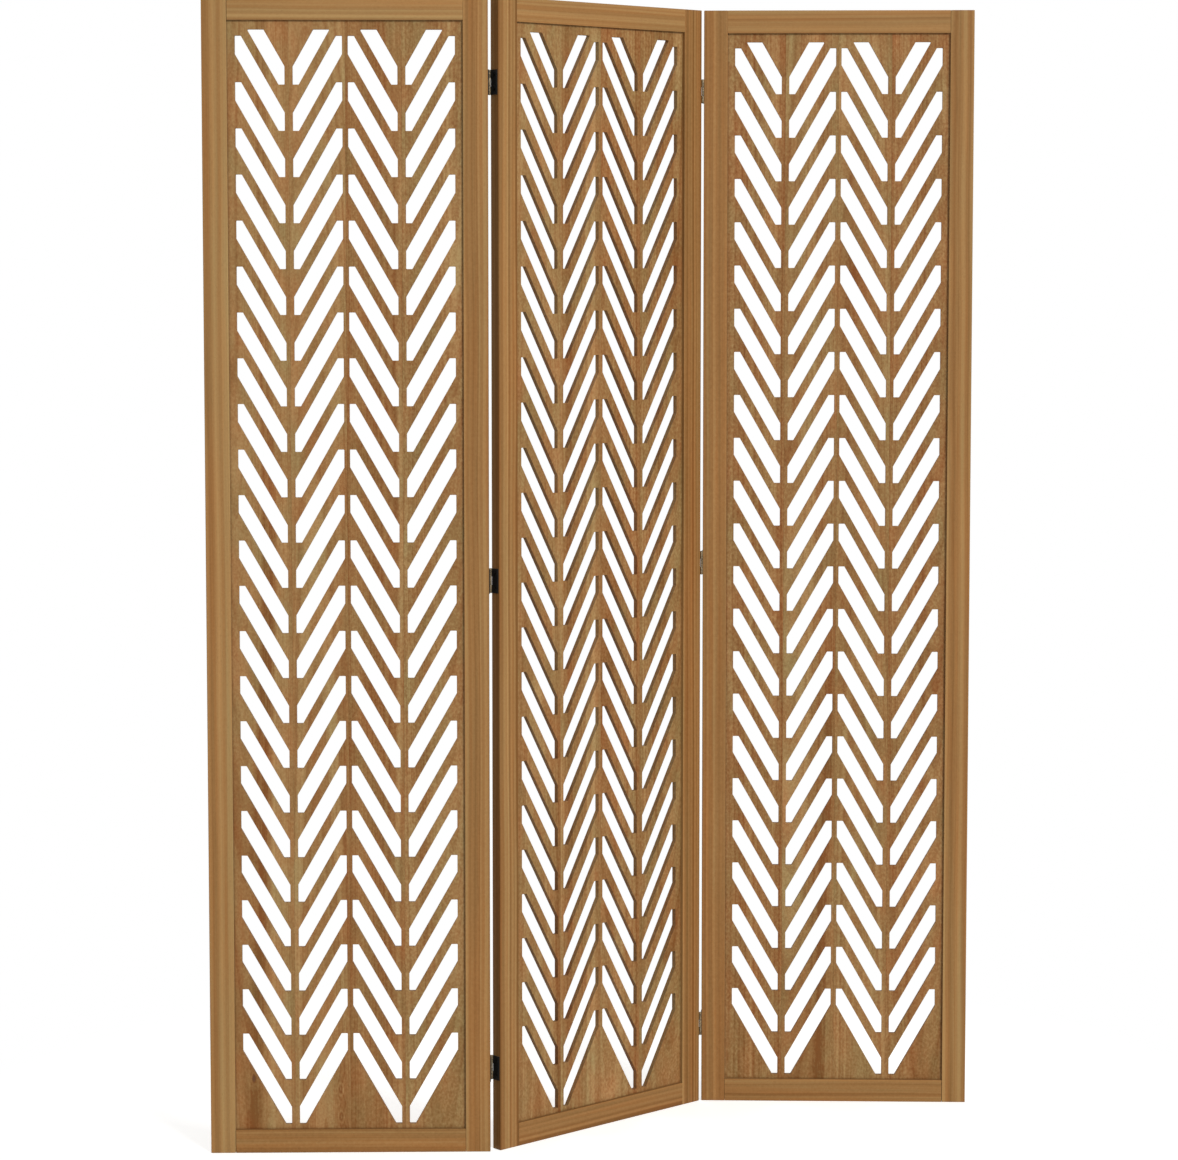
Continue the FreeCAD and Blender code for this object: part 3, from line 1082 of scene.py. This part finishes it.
@dataclass(frozen=True)
class Lattice:
    """The pierced boards of a panel: four upright planks, each with a column of slanted slots.

    Sizes are in millimetres. A slot is a slanted parallelogram whose two sharp ends are cut off
    upright and level. The slots fall to the right and to the left by turns, which makes the chevrons.
    """

    plan: PanelPlan
    side_margin: float = 12.0
    spine_width: float = 12.0
    centre_web_width: float = 8.5
    slot_slope: float = 60.4
    slot_pitch: float = 69.7
    slot_end_height: float = 27.4
    slot_end_flat: float = 9.4
    lowest_slot_gap: float = 7.2
    highest_slot_gap: float = 13.9
    slot_corner: float = 0.9
    slot_arris: float = 0.35
    seam_arris: float = 0.3

    @property
    def column_width(self) -> float:
        """The width of one column of slots."""
        solid = 2 * self.side_margin + 2 * self.spine_width + self.centre_web_width
        return (self.plan.width - 2 * self.plan.stile_width - solid) / len(PLANKS)

    @property
    def slot_height(self) -> float:
        """The height of a whole slot."""
        run = self.column_width - self.slot_end_flat
        return self.slot_end_height + run * math.tan(math.radians(self.slot_slope))

    @property
    def slots_bottom(self) -> float:
        """The height of the lowest slots."""
        return self.plan.bottom_rail_width + self.lowest_slot_gap

    @property
    def slots_top(self) -> float:
        """The height at which the highest slots are cut off level."""
        return self.plan.height - self.plan.top_rail_width - self.highest_slot_gap

    @property
    def whole_slots(self) -> int:
        """How many whole slots fit in a column. The next one is cut off."""
        return int((self.slots_top - self.slots_bottom - self.slot_height) / self.slot_pitch) + 1

    def column_left(self, number: int) -> float:
        """Where a column of slots starts, counted from 0 at the left."""
        gaps = (self.side_margin, self.spine_width, self.centre_web_width, self.spine_width)
        return self.plan.stile_width + sum(gaps[: number + 1]) + number * self.column_width

    def slot_outline(self, number: int) -> list[Point]:
        """The corners of the lowest slot of a column, anticlockwise from its lower left end."""
        wide, high = self.column_width, self.slot_height
        flat, end = self.slot_end_flat, self.slot_end_height
        shape = [(wide - flat, 0), (wide, 0), (wide, end), (flat, high), (0, high), (0, high - end)]
        if number % 2:
            shape = [(wide - x, z) for x, z in reversed(shape)]
        left, bottom = self.column_left(number), self.slots_bottom
        return [(left + x, bottom + z) for x, z in shape]

    def cut_off_outline(self, number: int) -> list[Point]:
        """The corners of the highest slot of a column, which ends level with the others."""
        lift = self.whole_slots * self.slot_pitch
        corners = [(x, z + lift) for x, z in self.slot_outline(number)]
        kept = []
        for (x0, z0), (x1, z1) in zip(corners, corners[1:] + corners[:1]):
            if z0 <= self.slots_top:
                kept.append((x0, z0))
            if (z0 - self.slots_top) * (z1 - self.slots_top) < 0:
                share = (self.slots_top - z0) / (z1 - z0)
                kept.append((x0 + (x1 - x0) * share, self.slots_top))
        return kept

    def mesh(self, number: int, tree: NodeTree) -> Mesh:
        """Builds one plank in the panel's plan.

        Args:
            number: The plank's number, from 0 at the left.
            tree: The piercing tree.

        Returns:
            The plank's mesh.
        """
        plan = self.plan
        left, right = plan.seams[number], plan.seams[number + 1]
        low, high = plan.board_bottom, plan.board_top
        rim = [(left, low), (right, low), (right, high), (left, high)]
        slot, cut_off = (
            rounded(corners, [self.slot_corner] * len(corners))
            for corners in (self.slot_outline(number), self.cut_off_outline(number))
        )
        thick = plan.board_thickness
        slot_rows = eased_rows(thick, self.slot_arris, self.slot_arris)
        rim_rows = eased_rows(thick, self.seam_arris, self.seam_arris, way=-1)
        fixed, repeated = [(rim, rim_rows), (cut_off, slot_rows)], [(slot, slot_rows)]
        helpers = {
            "Fixed Mouths": self._mouths(fixed),
            "Slot Walls": self._walls(repeated),
            "Slot Mouth": self._mouths(repeated),
        }
        sizes = {"Slot Pitch": self.slot_pitch, "Whole Slots": self.whole_slots, "Thickness": thick}
        mesh = from_tree(self._walls(fixed), tree, helpers, sizes)
        # The tree draws the board lying on its back: x across, y up the board, z towards the front
        stand = Matrix.Rotation(math.pi / 2, 4, "X")
        mesh.transform(Matrix.Translation((0, plan.board_front, 0)) @ stand)
        work = bmesh.new()
        work.from_mesh(mesh)
        return to_mesh(work, "plank")

    @staticmethod
    def _walls(parts: list[tuple[list[Point], list[Row]]]) -> Mesh:
        """Draws walls, given as outlines and rows, for a board that lies on its back."""
        work = bmesh.new()
        for outline, rows in parts:
            add_wall(work, outline, rows, lambda p, depth: (p[0], p[1], -depth))
        mesh = bpy.data.meshes.new("walls")
        work.to_mesh(mesh)
        work.free()
        return mesh

    @staticmethod
    def _mouths(parts: list[tuple[list[Point], list[Row]]]) -> Mesh:
        """Draws the outlines of the walls' mouths in the board's face."""
        points, edges = [], []
        for outline, rows in parts:
            mouth = offset(outline, rows[0][0])
            start = len(points)
            edges += [(start + (index - 1) % len(mouth), start + index) for index in range(len(mouth))]
            points += [(x, y, 0) for x, y in mouth]
        mesh = bpy.data.meshes.new("mouths")
        mesh.from_pydata(points, edges, [])
        return mesh


def from_tree(base: Mesh, tree: NodeTree, helpers: dict[str, Mesh], sizes: dict[str, Any]) -> Mesh:
    """Runs a Geometry Nodes tree on a mesh, with its inputs set by their sockets' identifiers.

    Args:
        base: The mesh that goes into the tree.
        tree: The tree.
        helpers: The mesh for each named object input.
        sizes: The value of each other named input.

    Returns:
        The resulting mesh.
    """
    worked = shown("worked", base)
    objects = {name: shown(name, mesh) for name, mesh in helpers.items()}
    modifier: NodesModifier = worked.modifiers.new("Tree", "NODES")
    modifier.node_group = tree
    values = {**objects, **sizes}
    for item in tree.interface.items_tree:
        if item.in_out == "INPUT" and item.name in values:
            modifier[item.identifier] = values[item.name]
    return evaluated(worked, objects.values())


def start_tree(name: str, inputs: dict[str, str]) -> tuple[NodeTree, Adder, Any]:
    """Starts a Geometry Nodes tree with one geometry in, one out, and named inputs.

    Args:
        name: The tree's name.
        inputs: The kind of socket of each named input.

    Returns:
        The tree, what adds nodes to it, and its inputs.
    """
    tree = bpy.data.node_groups.new(name, "GeometryNodeTree")
    tree.interface.new_socket("Geometry", in_out="OUTPUT", socket_type="NodeSocketGeometry")
    for label, kind in {"Geometry": "Geometry", **inputs}.items():
        tree.interface.new_socket(label, in_out="INPUT", socket_type=f"NodeSocket{kind}")
    add = partial(add_node, tree)
    return tree, add, add("NodeGroupInput", out=None).outputs


def end_tree(add: Adder, geometry: NodeSocket, material: Material) -> None:
    """Ends a Geometry Nodes tree with plain geometry in its material."""
    whole = add("GeometryNodeRealizeInstances", geometry)
    finished = add("GeometryNodeSetMaterial", whole, more={"Material": material})
    add("NodeGroupOutput", finished, out=None)


def piercing_tree(material: Material) -> NodeTree:
    """Builds the tree that pierces a plank with a column of slots.

    It repeats the walls of one slot up the plank, and fills both faces round the slots' mouths.

    Args:
        material: The boards' finish.

    Returns:
        The tree.
    """
    inputs = {"Fixed Mouths": "Object", "Slot Walls": "Object", "Slot Mouth": "Object"}
    sizes = {"Slot Pitch": "Float", "Whole Slots": "Int", "Thickness": "Float"}
    tree, add, given = start_tree("pierce_plank", {**inputs, **sizes})
    step = add("CombineXYZ", 0.0, given["Slot Pitch"])
    line = {"Count": given["Whole Slots"], "Offset": step}
    column = add("GeometryNodeMeshLine", more=line, mode="OFFSET")
    fixed, walls, mouth = (
        add("GeometryNodeObjectInfo", more={"Object": given[label]}, out="Geometry")
        for label in inputs
    )
    walls, mouth = (
        add("GeometryNodeInstanceOnPoints", column, more={"Instance": one}) for one in (walls, mouth)
    )
    mouths = add("GeometryNodeJoinGeometry", [fixed, mouth])
    mouths = add("GeometryNodeRealizeInstances", mouths)
    front = add("GeometryNodeFillCurve", add("GeometryNodeMeshToCurve", mouths))
    depth = add("Math", given["Thickness"], -1.0, operation="MULTIPLY")
    behind = add("CombineXYZ", 0.0, 0.0, depth)
    back = add("GeometryNodeTransform", front, more={"Translation": behind})
    whole = add("GeometryNodeJoinGeometry", [given["Geometry"], walls, front, back])
    end_tree(add, whole, material)
    return tree


# Hinges and their screws

FLAT_ANGLE = math.radians(0.5)  # neighbouring facets that turn less than this become one face
SMOOTH_ANGLE = math.radians(32)  # edges that turn less than this are shaded smooth
SHARP_ANGLE = math.radians(50)  # edges that turn more than this are eased


@dataclass(frozen=True)
class HingePlan:
    """Sizes of a pressed steel butt hinge and its screws, in millimetres."""

    end_distance: float = 129.0
    leaf_thickness: float = 0.9
    leaf_setback: float = 1.9
    notch_edge: float = 16.15  # how far a leaf's flat part reaches, from the far face
    screws_per_leaf: int = 2
    screw_spacing: float = 22.0
    head_width: float = 4.8
    head_clearance: float = 0.15
    head_dome: float = 0.2
    head_rim: float = 0.1
    shank_width: float = 2.7
    shank_length: float = 9.0
    point_length: float = 3.0
    recess_width: float = 2.6
    recess_depth: float = 0.9
    recess_arm: float = 0.64
    recess_taper: float = 0.18
    tip_share: float = 0.25  # the blunt tip's width, as a share of the shank's
    tip_length: float = 0.6
    dome_shares: tuple[Point, ...] = ((0.75, 0.55), (0.4, 0.9))  # of the head's radius and dome
    driver_seed: int = 7  # which turns the screws were left at
    edge_ease: float = 0.12
    knuckle_reach: float = 2.067  # just past the knuckles' outside, from the pin's axis
    overrun: float = 0.5  # how far the countersinks' cones run past the leaf

    def heights(self, plan: PanelPlan) -> list[float]:
        """The heights of the middles of the three hinges of a joint."""
        return [self.end_distance, plan.height / 2, plan.height - self.end_distance]


@dataclass(frozen=True)
class LeafSide:
    """The edge of a panel that carries the leaves of one joint."""

    joint: str
    leaf: str  # the leaf's name within the joint
    right_edge: bool
    front_axis: bool  # whether the pins are at the panel's front

    def middle(self, plan: PanelPlan, hinge: HingePlan, height: float) -> Vector:
        """The middle of a leaf's flat part, on its outer face, in the panel's plan."""
        depth = (hinge.leaf_setback + hinge.notch_edge) / 2
        x = plan.width + hinge.leaf_thickness if self.right_edge else -hinge.leaf_thickness
        return Vector((x, plan.thickness - depth if self.front_axis else depth, height))

    @property
    def outward(self) -> Vector:
        """The direction in which the leaf faces, in the panel's plan."""
        return Vector((1 if self.right_edge else -1, 0, 0))


LEAF_SIDES = {
    "left": [LeafSide("left_joint", "left_leaf", right_edge=True, front_axis=False)],
    "centre": [
        LeafSide("left_joint", "centre_leaf", right_edge=False, front_axis=False),
        LeafSide("right_joint", "centre_leaf", right_edge=True, front_axis=True),
    ],
    "right": [LeafSide("right_joint", "right_leaf", right_edge=False, front_axis=True)],
}


def turn_profile(mesh: BMesh, profile: list[Point], place: Matrix, segments: int = 28) -> None:
    """Adds a turned solid to a mesh.

    Args:
        mesh: The mesh that gets it.
        profile: Its radii and heights, which start and end at a radius of 0.
        place: Puts it in its place, from where it stands along z at the origin.
        segments: How many straight pieces make it round.
    """
    turns = [2 * math.pi * index / segments for index in range(segments)]
    rings = [
        [mesh.verts.new(place @ Vector((r * math.cos(a), r * math.sin(a), z))) for a in turns]
        if r
        else [mesh.verts.new(place @ Vector((0, 0, z)))] * segments
        for r, z in profile
    ]
    for low, high in zip(rings, rings[1:]):
        for index in range(segments):
            corners = (low[index - 1], low[index], high[index], high[index - 1])
            mesh.faces.new(tuple(dict.fromkeys(corners)))


def screw_mesh(size: HingePlan) -> Mesh:
    """Builds a countersunk wood screw with a cross recess, its head's rim at the origin, facing +z.

    Args:
        size: The hinge's sizes and the screws'.

    Returns:
        The screw in millimetres.
    """
    head, shank, tip = size.head_width / 2, size.shank_width / 2, -size.shank_length
    work = bmesh.new()
    profile = [(0, tip), (shank * size.tip_share, tip + size.tip_length)]
    profile += [(shank, tip + size.point_length)]
    profile += [(shank, shank - head - size.head_rim), (head, -size.head_rim), (head, 0)]
    profile += [(head * across, size.head_dome * up) for across, up in size.dome_shares]
    turn_profile(work, [*profile, (0, size.head_dome)], Matrix())
    arm, half = size.recess_width / 2, size.recess_arm / 2
    quarter = [(arm, -half), (arm, half), (half, half)]
    outline = []
    for _ in range(4):
        outline += quarter
        quarter = [(-y, x) for x, y in quarter]
    rows = [(-size.recess_taper, -size.recess_depth), (0.0, size.head_dome * 2)]
    cross = bmesh.new()
    add_wall(cross, outline, rows, lambda p, z: (p[0], p[1], z), caps=True)
    return combined(to_mesh(work, "screw"), cross, "DIFFERENCE")


def screw_tree(material: Material) -> NodeTree:
    """Builds the tree that sets the screws in the leaves.

    Each point of the given mesh is the middle of a leaf, and its outward attribute is the way that
    the leaf faces. Every screw is turned about itself by a different amount, as a driver leaves it.

    Args:
        material: The screws' finish.

    Returns:
        The tree.
    """
    inputs = {"Screw": "Object", "Screws per Leaf": "Int", "Screw Spacing": "Float", "Seed": "Int"}
    tree, add, given = start_tree("set_screws", inputs)
    count = given["Screws per Leaf"]
    step = add("CombineXYZ", 0.0, 0.0, given["Screw Spacing"])
    gaps = add("Math", count, -0.5, 0.5, operation="MULTIPLY_ADD")
    first = add("VectorMath", step, more={"Scale": gaps}, operation="SCALE")
    line = {"Count": count, "Start Location": first, "Offset": step}
    row = add("GeometryNodeMeshLine", more=line, mode="OFFSET")
    rows = add("GeometryNodeInstanceOnPoints", given["Geometry"], more={"Instance": row})
    spots = add("GeometryNodeRealizeInstances", rows)
    named = {"data_type": "FLOAT_VECTOR"}
    outward = add("GeometryNodeInputNamedAttribute", more={"Name": "outward"}, **named)
    facing = add("FunctionNodeAlignRotationToVector", more={"Vector": outward}, axis="Z")
    seeded = {"Max": math.pi, "Seed": given["Seed"]}
    driven = add("FunctionNodeRandomValue", more=seeded, out=None, data_type="FLOAT")
    driven = next(socket for socket in driven.outputs if socket.enabled)
    spin = add("FunctionNodeEulerToRotation", add("CombineXYZ", 0.0, 0.0, driven))
    turns = {"Rotation": facing, "Rotate By": spin}
    facing = add("FunctionNodeRotateRotation", more=turns, rotation_space="LOCAL")
    screw = add("GeometryNodeObjectInfo", more={"Object": given["Screw"]}, out="Geometry")
    set_in = {"Instance": screw, "Rotation": facing}
    end_tree(add, add("GeometryNodeInstanceOnPoints", spots, more=set_in), material)
    return tree


@dataclass(frozen=True)
class HingeParts:
    """The hinge parts of one panel, drawn from the CAD nodes with their edges eased."""

    plan: PanelPlan
    place: PanelPlace
    finishes: dict[str, Material]
    hinge: HingePlan = HingePlan()

    def eased_copy(self, node: str) -> Mesh:
        """Copies a CAD node into the panel's plan and breaks its sharp edges.

        Args:
            node: The node's name.

        Returns:
            The copy, in millimetres.
        """
        work = bmesh.new()
        work.from_mesh(frame["nodes"][node].data)
        work.transform(self.place.matrix.inverted())
        bmesh.ops.remove_doubles(work, verts=work.verts, dist=MERGE_DISTANCE / 5)
        bmesh.ops.dissolve_limit(work, angle_limit=FLAT_ANGLE, verts=work.verts, edges=work.edges)
        sharp = [e for e in work.edges if e.is_manifold and e.calc_face_angle() > SHARP_ANGLE]
        rounding = {"segments": 2, "profile": 0.5, "affect": "EDGES", "clamp_overlap": True}
        bmesh.ops.bevel(work, geom=sharp, offset=self.hinge.edge_ease, **rounding)
        return to_mesh(work, node)

    def countersinks(self, side: LeafSide, height: float) -> BMesh:
        """The cones that cut a leaf's screw holes.

        Args:
            side: The panel's edge that carries the leaf.
            height: The height of the leaf's middle.

        Returns:
            The cutting mesh.
        """
        size = self.hinge
        head = size.head_width / 2 + size.head_clearance
        shank, low, over = head - size.leaf_thickness, -size.leaf_thickness, size.overrun
        profile = [(0, low - over), (shank, low - over), (shank, low), (head + over, over), (0, over)]
        turn = side.outward.to_track_quat("Z", "Y").to_matrix().to_4x4()
        lowest = height - size.screw_spacing * (size.screws_per_leaf - 1) / 2
        work = bmesh.new()
        for number in range(size.screws_per_leaf):
            middle = side.middle(self.plan, size, lowest + number * size.screw_spacing)
            turn_profile(work, profile, Matrix.Translation(middle) @ turn)
        return work

    def build(self, tree: NodeTree) -> None:
        """Makes the panel's leaves, the pins that ride with it, and its screws.

        Args:
            tree: The screw-setting tree.
        """
        points, directions = [], []
        for side in LEAF_SIDES[self.place.name]:
            for level, height in zip(("lower", "middle", "upper"), self.hinge.heights(self.plan)):
                hinge = f"{side.joint}_{level}_hinge"
                copy = self.eased_copy(f"{hinge}_{side.leaf}")
                leaf = combined(copy, self.countersinks(side, height), "DIFFERENCE")
                self._mark_knuckles(leaf, side.joint)
                self._finish(f"{hinge}_{side.leaf}", leaf, "enamel")
                points.append(side.middle(self.plan, self.hinge, height))
                directions.append(side.outward)
                if self.place.name == "centre":
                    self._finish(f"{hinge}_pin", self.eased_copy(f"{hinge}_pin"), "steel")
        screws = self.screws(points, directions, tree)
        name = f"{self.place.name}_panel_hinge_screws"
        finish_piece(name, screws, self.place, self.finishes["oxide"])

    def screws(self, points: list[Vector], directions: list[Vector], tree: NodeTree) -> Mesh:
        """Sets the screws of all the panel's leaves.

        Args:
            points: The middle of each leaf's outer face.
            directions: The way that each leaf faces.
            tree: The screw-setting tree.

        Returns:
            The screws as one mesh, in the panel's plan.
        """
        base = bpy.data.meshes.new("leaf_middles")
        base.from_pydata(points, [], [])
        outward = base.attributes.new("outward", "FLOAT_VECTOR", "POINT")
        outward.data.foreach_set("vector", [value for d in directions for value in d])
        values = {
            "Screws per Leaf": self.hinge.screws_per_leaf,
            "Screw Spacing": self.hinge.screw_spacing,
            "Seed": self.hinge.driver_seed + len(self.place.name),
        }
        mesh = from_tree(base, tree, {"Screw": screw_mesh(self.hinge)}, values)
        self._smooth(mesh)
        return mesh

    def _mark_knuckles(self, leaf: Mesh, joint: str) -> None:
        """Marks the faces of a leaf that are rolled round the pin.

        Args:
            leaf: The leaf, in the panel's plan.
            joint: The hinge's joint, which starts the name of the joint's pins.
        """
        low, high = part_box(f"{joint}_middle_hinge_pin")
        axis = self.place.matrix.inverted() @ ((low + high) / 2)
        knuckle = leaf.attributes.new("knuckle", "FLOAT", "FACE")
        for face, value in zip(leaf.polygons, knuckle.data):
            value.value = float((face.center - axis).xy.length < self.hinge.knuckle_reach)

    def _finish(self, node: str, mesh: Mesh, finish: str) -> None:
        """Finishes a hinge part that stands for a CAD node."""
        self._smooth(mesh)
        finish_piece(f"{node}_finished", mesh, self.place, self.finishes[finish], node)

    @staticmethod
    def _smooth(mesh: Mesh) -> None:
        """Shades a mesh smooth, apart from its sharp edges."""
        mesh.shade_smooth()
        mesh.set_sharp_from_angle(angle=SMOOTH_ANGLE)


# The screen


WOOD = {  # the stiles, left and right, the rails, top and bottom, and the planks from the left
    "left": [
        Timber(Tone.BLOND, Sawing.RIFT, Streak(7, 900, 9, 1900, 0.14), contrast=0.55),
        Timber(Tone.AMBER, Sawing.RIFT_TURNED, Streak(413, 900, 3.5, 1900, 0.22)),
        Timber(Tone.PALE, Sawing.RIFT, Streak(1775, 210, 6, 600, 0.15), contrast=0.7),
        Timber(Tone.CINNAMON, Sawing.QUARTER, contrast=0.6),
        Timber(
            Tone.HONEY, Sawing.HALF_CROWN, Streak(74, 250, 11, 1200, 0.42, lean=33), Knot(66, 116, 3.5)
        ),
        Timber(
            Tone.HONEY,
            Sawing.CROWN,
            Streak(211, 500, 6, 1100, 0.25),
            Knot(199, 77, 4, core=0.1, rings=0.22, half_spacing=22),
        ),
        Timber(Tone.UMBER, Sawing.RIFT, Streak(290, 1200, 5, 1200, 0.28, lean=10)),
        Timber(Tone.OLIVE, Sawing.CROWN_ASIDE, Streak(334, 900, 10, 800, 0.2)),
    ],
    "centre": [
        Timber(Tone.HONEY, Sawing.RIFT_TURNED, Streak(37, 900, 10, 1900, 0.3), contrast=1.6),
        Timber(Tone.UMBER, Sawing.QUARTER, contrast=1.6),
        Timber(Tone.PALE, Sawing.QUARTER, contrast=0.6),
        Timber(Tone.UMBER, Sawing.RIFT, contrast=1.5),
        Timber(Tone.AMBER, Sawing.CROWN, Streak(127, 200, 5, 600, 0.4)),
        Timber(Tone.AMBER, Sawing.RIFT, Streak(152, 1100, 15, 1200, 0.2)),
        Timber(Tone.CINNAMON, Sawing.HALF_CROWN, Streak(276, 1000, 8, 1100, 0.28)),
        Timber(Tone.TAWNY, Sawing.CROWN_ASIDE, Streak(350, 1200, 10, 900, 0.2)),
    ],
    "right": [
        Timber(Tone.CINNAMON, Sawing.QUARTER, Streak(5, 900, 5, 1900, 0.18), contrast=0.6),
        Timber(Tone.BLOND, Sawing.RIFT, Streak(405, 900, 10, 1900, 0.24), contrast=0.7),
        Timber(Tone.PALE, Sawing.RIFT_TURNED, contrast=0.6),
        Timber(Tone.AMBER, Sawing.RIFT),
        Timber(Tone.CINNAMON, Sawing.RIFT_TURNED, Streak(110, 250, 9, 600, 0.15)),
        Timber(Tone.AMBER, Sawing.HALF_CROWN, Streak(196, 250, 9, 900, 0.45, lean=25)),
        Timber(Tone.AMBER, Sawing.CROWN, Streak(236, 1100, 12, 500, 0.25)),
        Timber(Tone.CINNAMON, Sawing.CROWN_ASIDE, Streak(355, 900, 6, 1300, 0.2, lean=-5)),
    ],
}


@dataclass(frozen=True)
class Panel:
    """One panel of the screen: its frame, its pierced boards and its hinge parts."""

    plan: PanelPlan
    place: PanelPlace
    finishes: dict[str, Material]  # by what they are for

    def build(self, trees: dict[str, NodeTree]) -> None:
        """Makes every piece of the panel.

        Args:
            trees: The Geometry Nodes trees, by what they are for.
        """
        left_stile, right_stile = (Stile(self.plan, hand).mesh() for hand in (False, True))
        top_rail, bottom_rail = (
            Rail(self.plan, SHOULDERS[self.place.name, rail], rail == "top_rail").mesh()
            for rail in ("top_rail", "bottom_rail")
        )
        lattice = Lattice(self.plan)
        planks = [lattice.mesh(number, trees["piercing"]) for number in range(len(PLANKS))]
        meshes = [left_stile, right_stile, top_rail, bottom_rail, *planks]
        first = 1 + list(WOOD).index(self.place.name) * len(meshes)
        pieces = zip((*MEMBERS, *PLANKS), meshes, WOOD[self.place.name])
        for number, (member, mesh, timber) in enumerate(pieces, first):
            pierced = member in PLANKS
            timber.mark(mesh, number, ACROSS if "rail" in member else UPRIGHT, pierced)
            finish, slot = ("boards", "board_wood") if pierced else ("frame", "frame_wood")
            node = f"{self.place.name}_panel_{member}"
            finish_piece(f"{node}_finished", mesh, self.place, self.finishes[finish], node)
        HingeParts(self.plan, self.place, self.finishes).build(trees["screws"])


# The studio


@dataclass(frozen=True)
class Lamp:
    """A large soft lamp aimed at the middle of the screen."""

    name: str
    azimuth: float  # degrees to the right of the screen's front
    elevation: float
    distance: float  # metres
    size: float
    level: float  # how brightly a white surface that faces it is lit, where 1 is white

    def hang(self, target: Vector) -> None:
        """Hangs the lamp in the scene.

        Args:
            target: The point that it is aimed at.
        """
        turn, lift = math.radians(self.azimuth), math.radians(self.elevation)
        level = math.cos(lift)
        back = Vector((math.sin(turn) * level, -math.cos(turn) * level, math.sin(lift)))
        light = bpy.data.lights.new(self.name, "AREA")
        light.shape, light.size = "DISK", self.size
        light.energy = self.level * math.pi**2 * self.distance**2
        lamp = bpy.data.objects.new(self.name, light)
        bpy.context.scene.collection.objects.link(lamp)
        lamp.location = target + back * self.distance
        lamp.rotation_euler = back.to_track_quat("Z", "Y").to_euler()


@dataclass(frozen=True)
class Studio:
    """A plain white studio: a pale floor, an even white surround, soft lamps and the camera."""

    surround_level: float = 0.4
    floor_lift: float = 0.5  # lifts the seen floor to white where nothing shades it
    floor_size: float = 14.0
    floor_drop: float = 0.2  # millimetres below the screen's feet
    fade_start: float = 0.5  # metres from the middle of the screen
    fade_end: float = 1.1
    lamps: tuple[Lamp, ...] = (
        Lamp("key_lamp", 32.0, 27.0, 20.0, 6.0, 0.66),
        Lamp("back_lamp", 200.0, 48.0, 8.0, 6.0, 0.27),
    )
    # The photograph's view: metres, degrees and millimetres
    camera_spot: tuple[float, float, float] = (-0.1121, -5.0397, 1.3991)
    camera_pitch: float = -4.446
    camera_turn: float = -1.093
    lens: float = 97.84
    shift: float = -0.07
    clip: Point = (0.1, 60.0)

    def _seen(self, add: Adder) -> NodeSocket:
        """Whether a ray shows the surround to the camera, straight on or in a gloss or glass."""
        path = add("LightPath", out=None).outputs
        seen = add("Math", path["Is Camera Ray"], path["Is Glossy Ray"], operation="MAXIMUM")
        return add("Math", seen, path["Is Transmission Ray"], operation="MAXIMUM")

    def surround(self) -> None:
        """Makes the white surround, which lights the screen more softly than it looks."""
        world = bpy.data.worlds.new("white_surround")
        bpy.context.scene.world = world
        world.use_nodes = True
        world.node_tree.nodes.clear()
        add = partial(add_node, world.node_tree)
        strength = add("MapRange", self._seen(add), 0.0, 1.0, self.surround_level, 1.0)
        light = add("Background", (1.0, 1.0, 1.0, 1.0), strength)
        add("OutputWorld", light, out=None)

    def floor(self) -> None:
        """Makes the pale floor, which keeps the screen's shadow near it and fades to white."""
        half = self.floor_size / 2
        mesh = bpy.data.meshes.new("studio_floor")
        corners = [(-half, -half), (half, -half), (half, half), (-half, half)]
        mesh.from_pydata([(x, y, -self.floor_drop * MM) for x, y in corners], [], [(0, 1, 2, 3)])
        floor = shown("studio_floor", mesh)
        material, add = new_material("matt_white_paint")
        paint = add("BsdfDiffuse", linear("#F2F2F0"))
        near = add("AddShader", paint, add("Emission", more={"Strength": self.floor_lift}))
        white = add("Emission", more={"Strength": 1.0})
        place = add("TexCoord", out="Object")
        away = add("VectorMath", place, out="Value", operation="LENGTH")
        far = add("MapRange", away, self.fade_start, self.fade_end, **SMOOTH)
        look = add("MixShader", far, near, white)
        add("OutputMaterial", add("MixShader", self._seen(add), paint, look), out=None)
        mesh.materials.append(material)

    def camera(self) -> None:
        """Sets the camera at the photograph's viewing angle."""
        data = bpy.data.cameras.new("camera")
        camera = bpy.data.objects.new("camera", data)
        bpy.context.scene.collection.objects.link(camera)
        camera.location = self.camera_spot
        pitch, turn = math.radians(90 + self.camera_pitch), math.radians(self.camera_turn)
        camera.rotation_euler = (pitch, 0.0, turn)
        data.lens, data.shift_y = self.lens, self.shift
        data.clip_start, data.clip_end = self.clip
        bpy.context.scene.camera = camera

    def build(self) -> None:
        """Builds the whole studio."""
        self.surround()
        self.floor()
        low, high = cad_box
        for lamp in self.lamps:
            lamp.hang((low + high) / 2)
        self.camera()
        bpy.context.scene.view_settings.view_transform = "Standard"


def main() -> None:
    """Builds the screen's looks and the studio."""
    logging.basicConfig(level=logging.INFO, format="%(name)s: %(message)s")
    plan = PanelPlan.from_frame()
    finishes = {
        "frame": FRAME_TIMBER.material(),
        "boards": BOARD_TIMBER.material(plan.opening),
        "enamel": BLACK_ENAMEL.material(),
        "steel": BLACKENED_STEEL.material(),
        "oxide": BLACK_OXIDE.material(),
    }
    trees = {"piercing": piercing_tree(finishes["boards"]), "screws": screw_tree(finishes["oxide"])}
    for place in standing_places(plan):
        Panel(plan, place, finishes).build(trees)
    Studio().build()


if __name__ == "__main__":
    main()
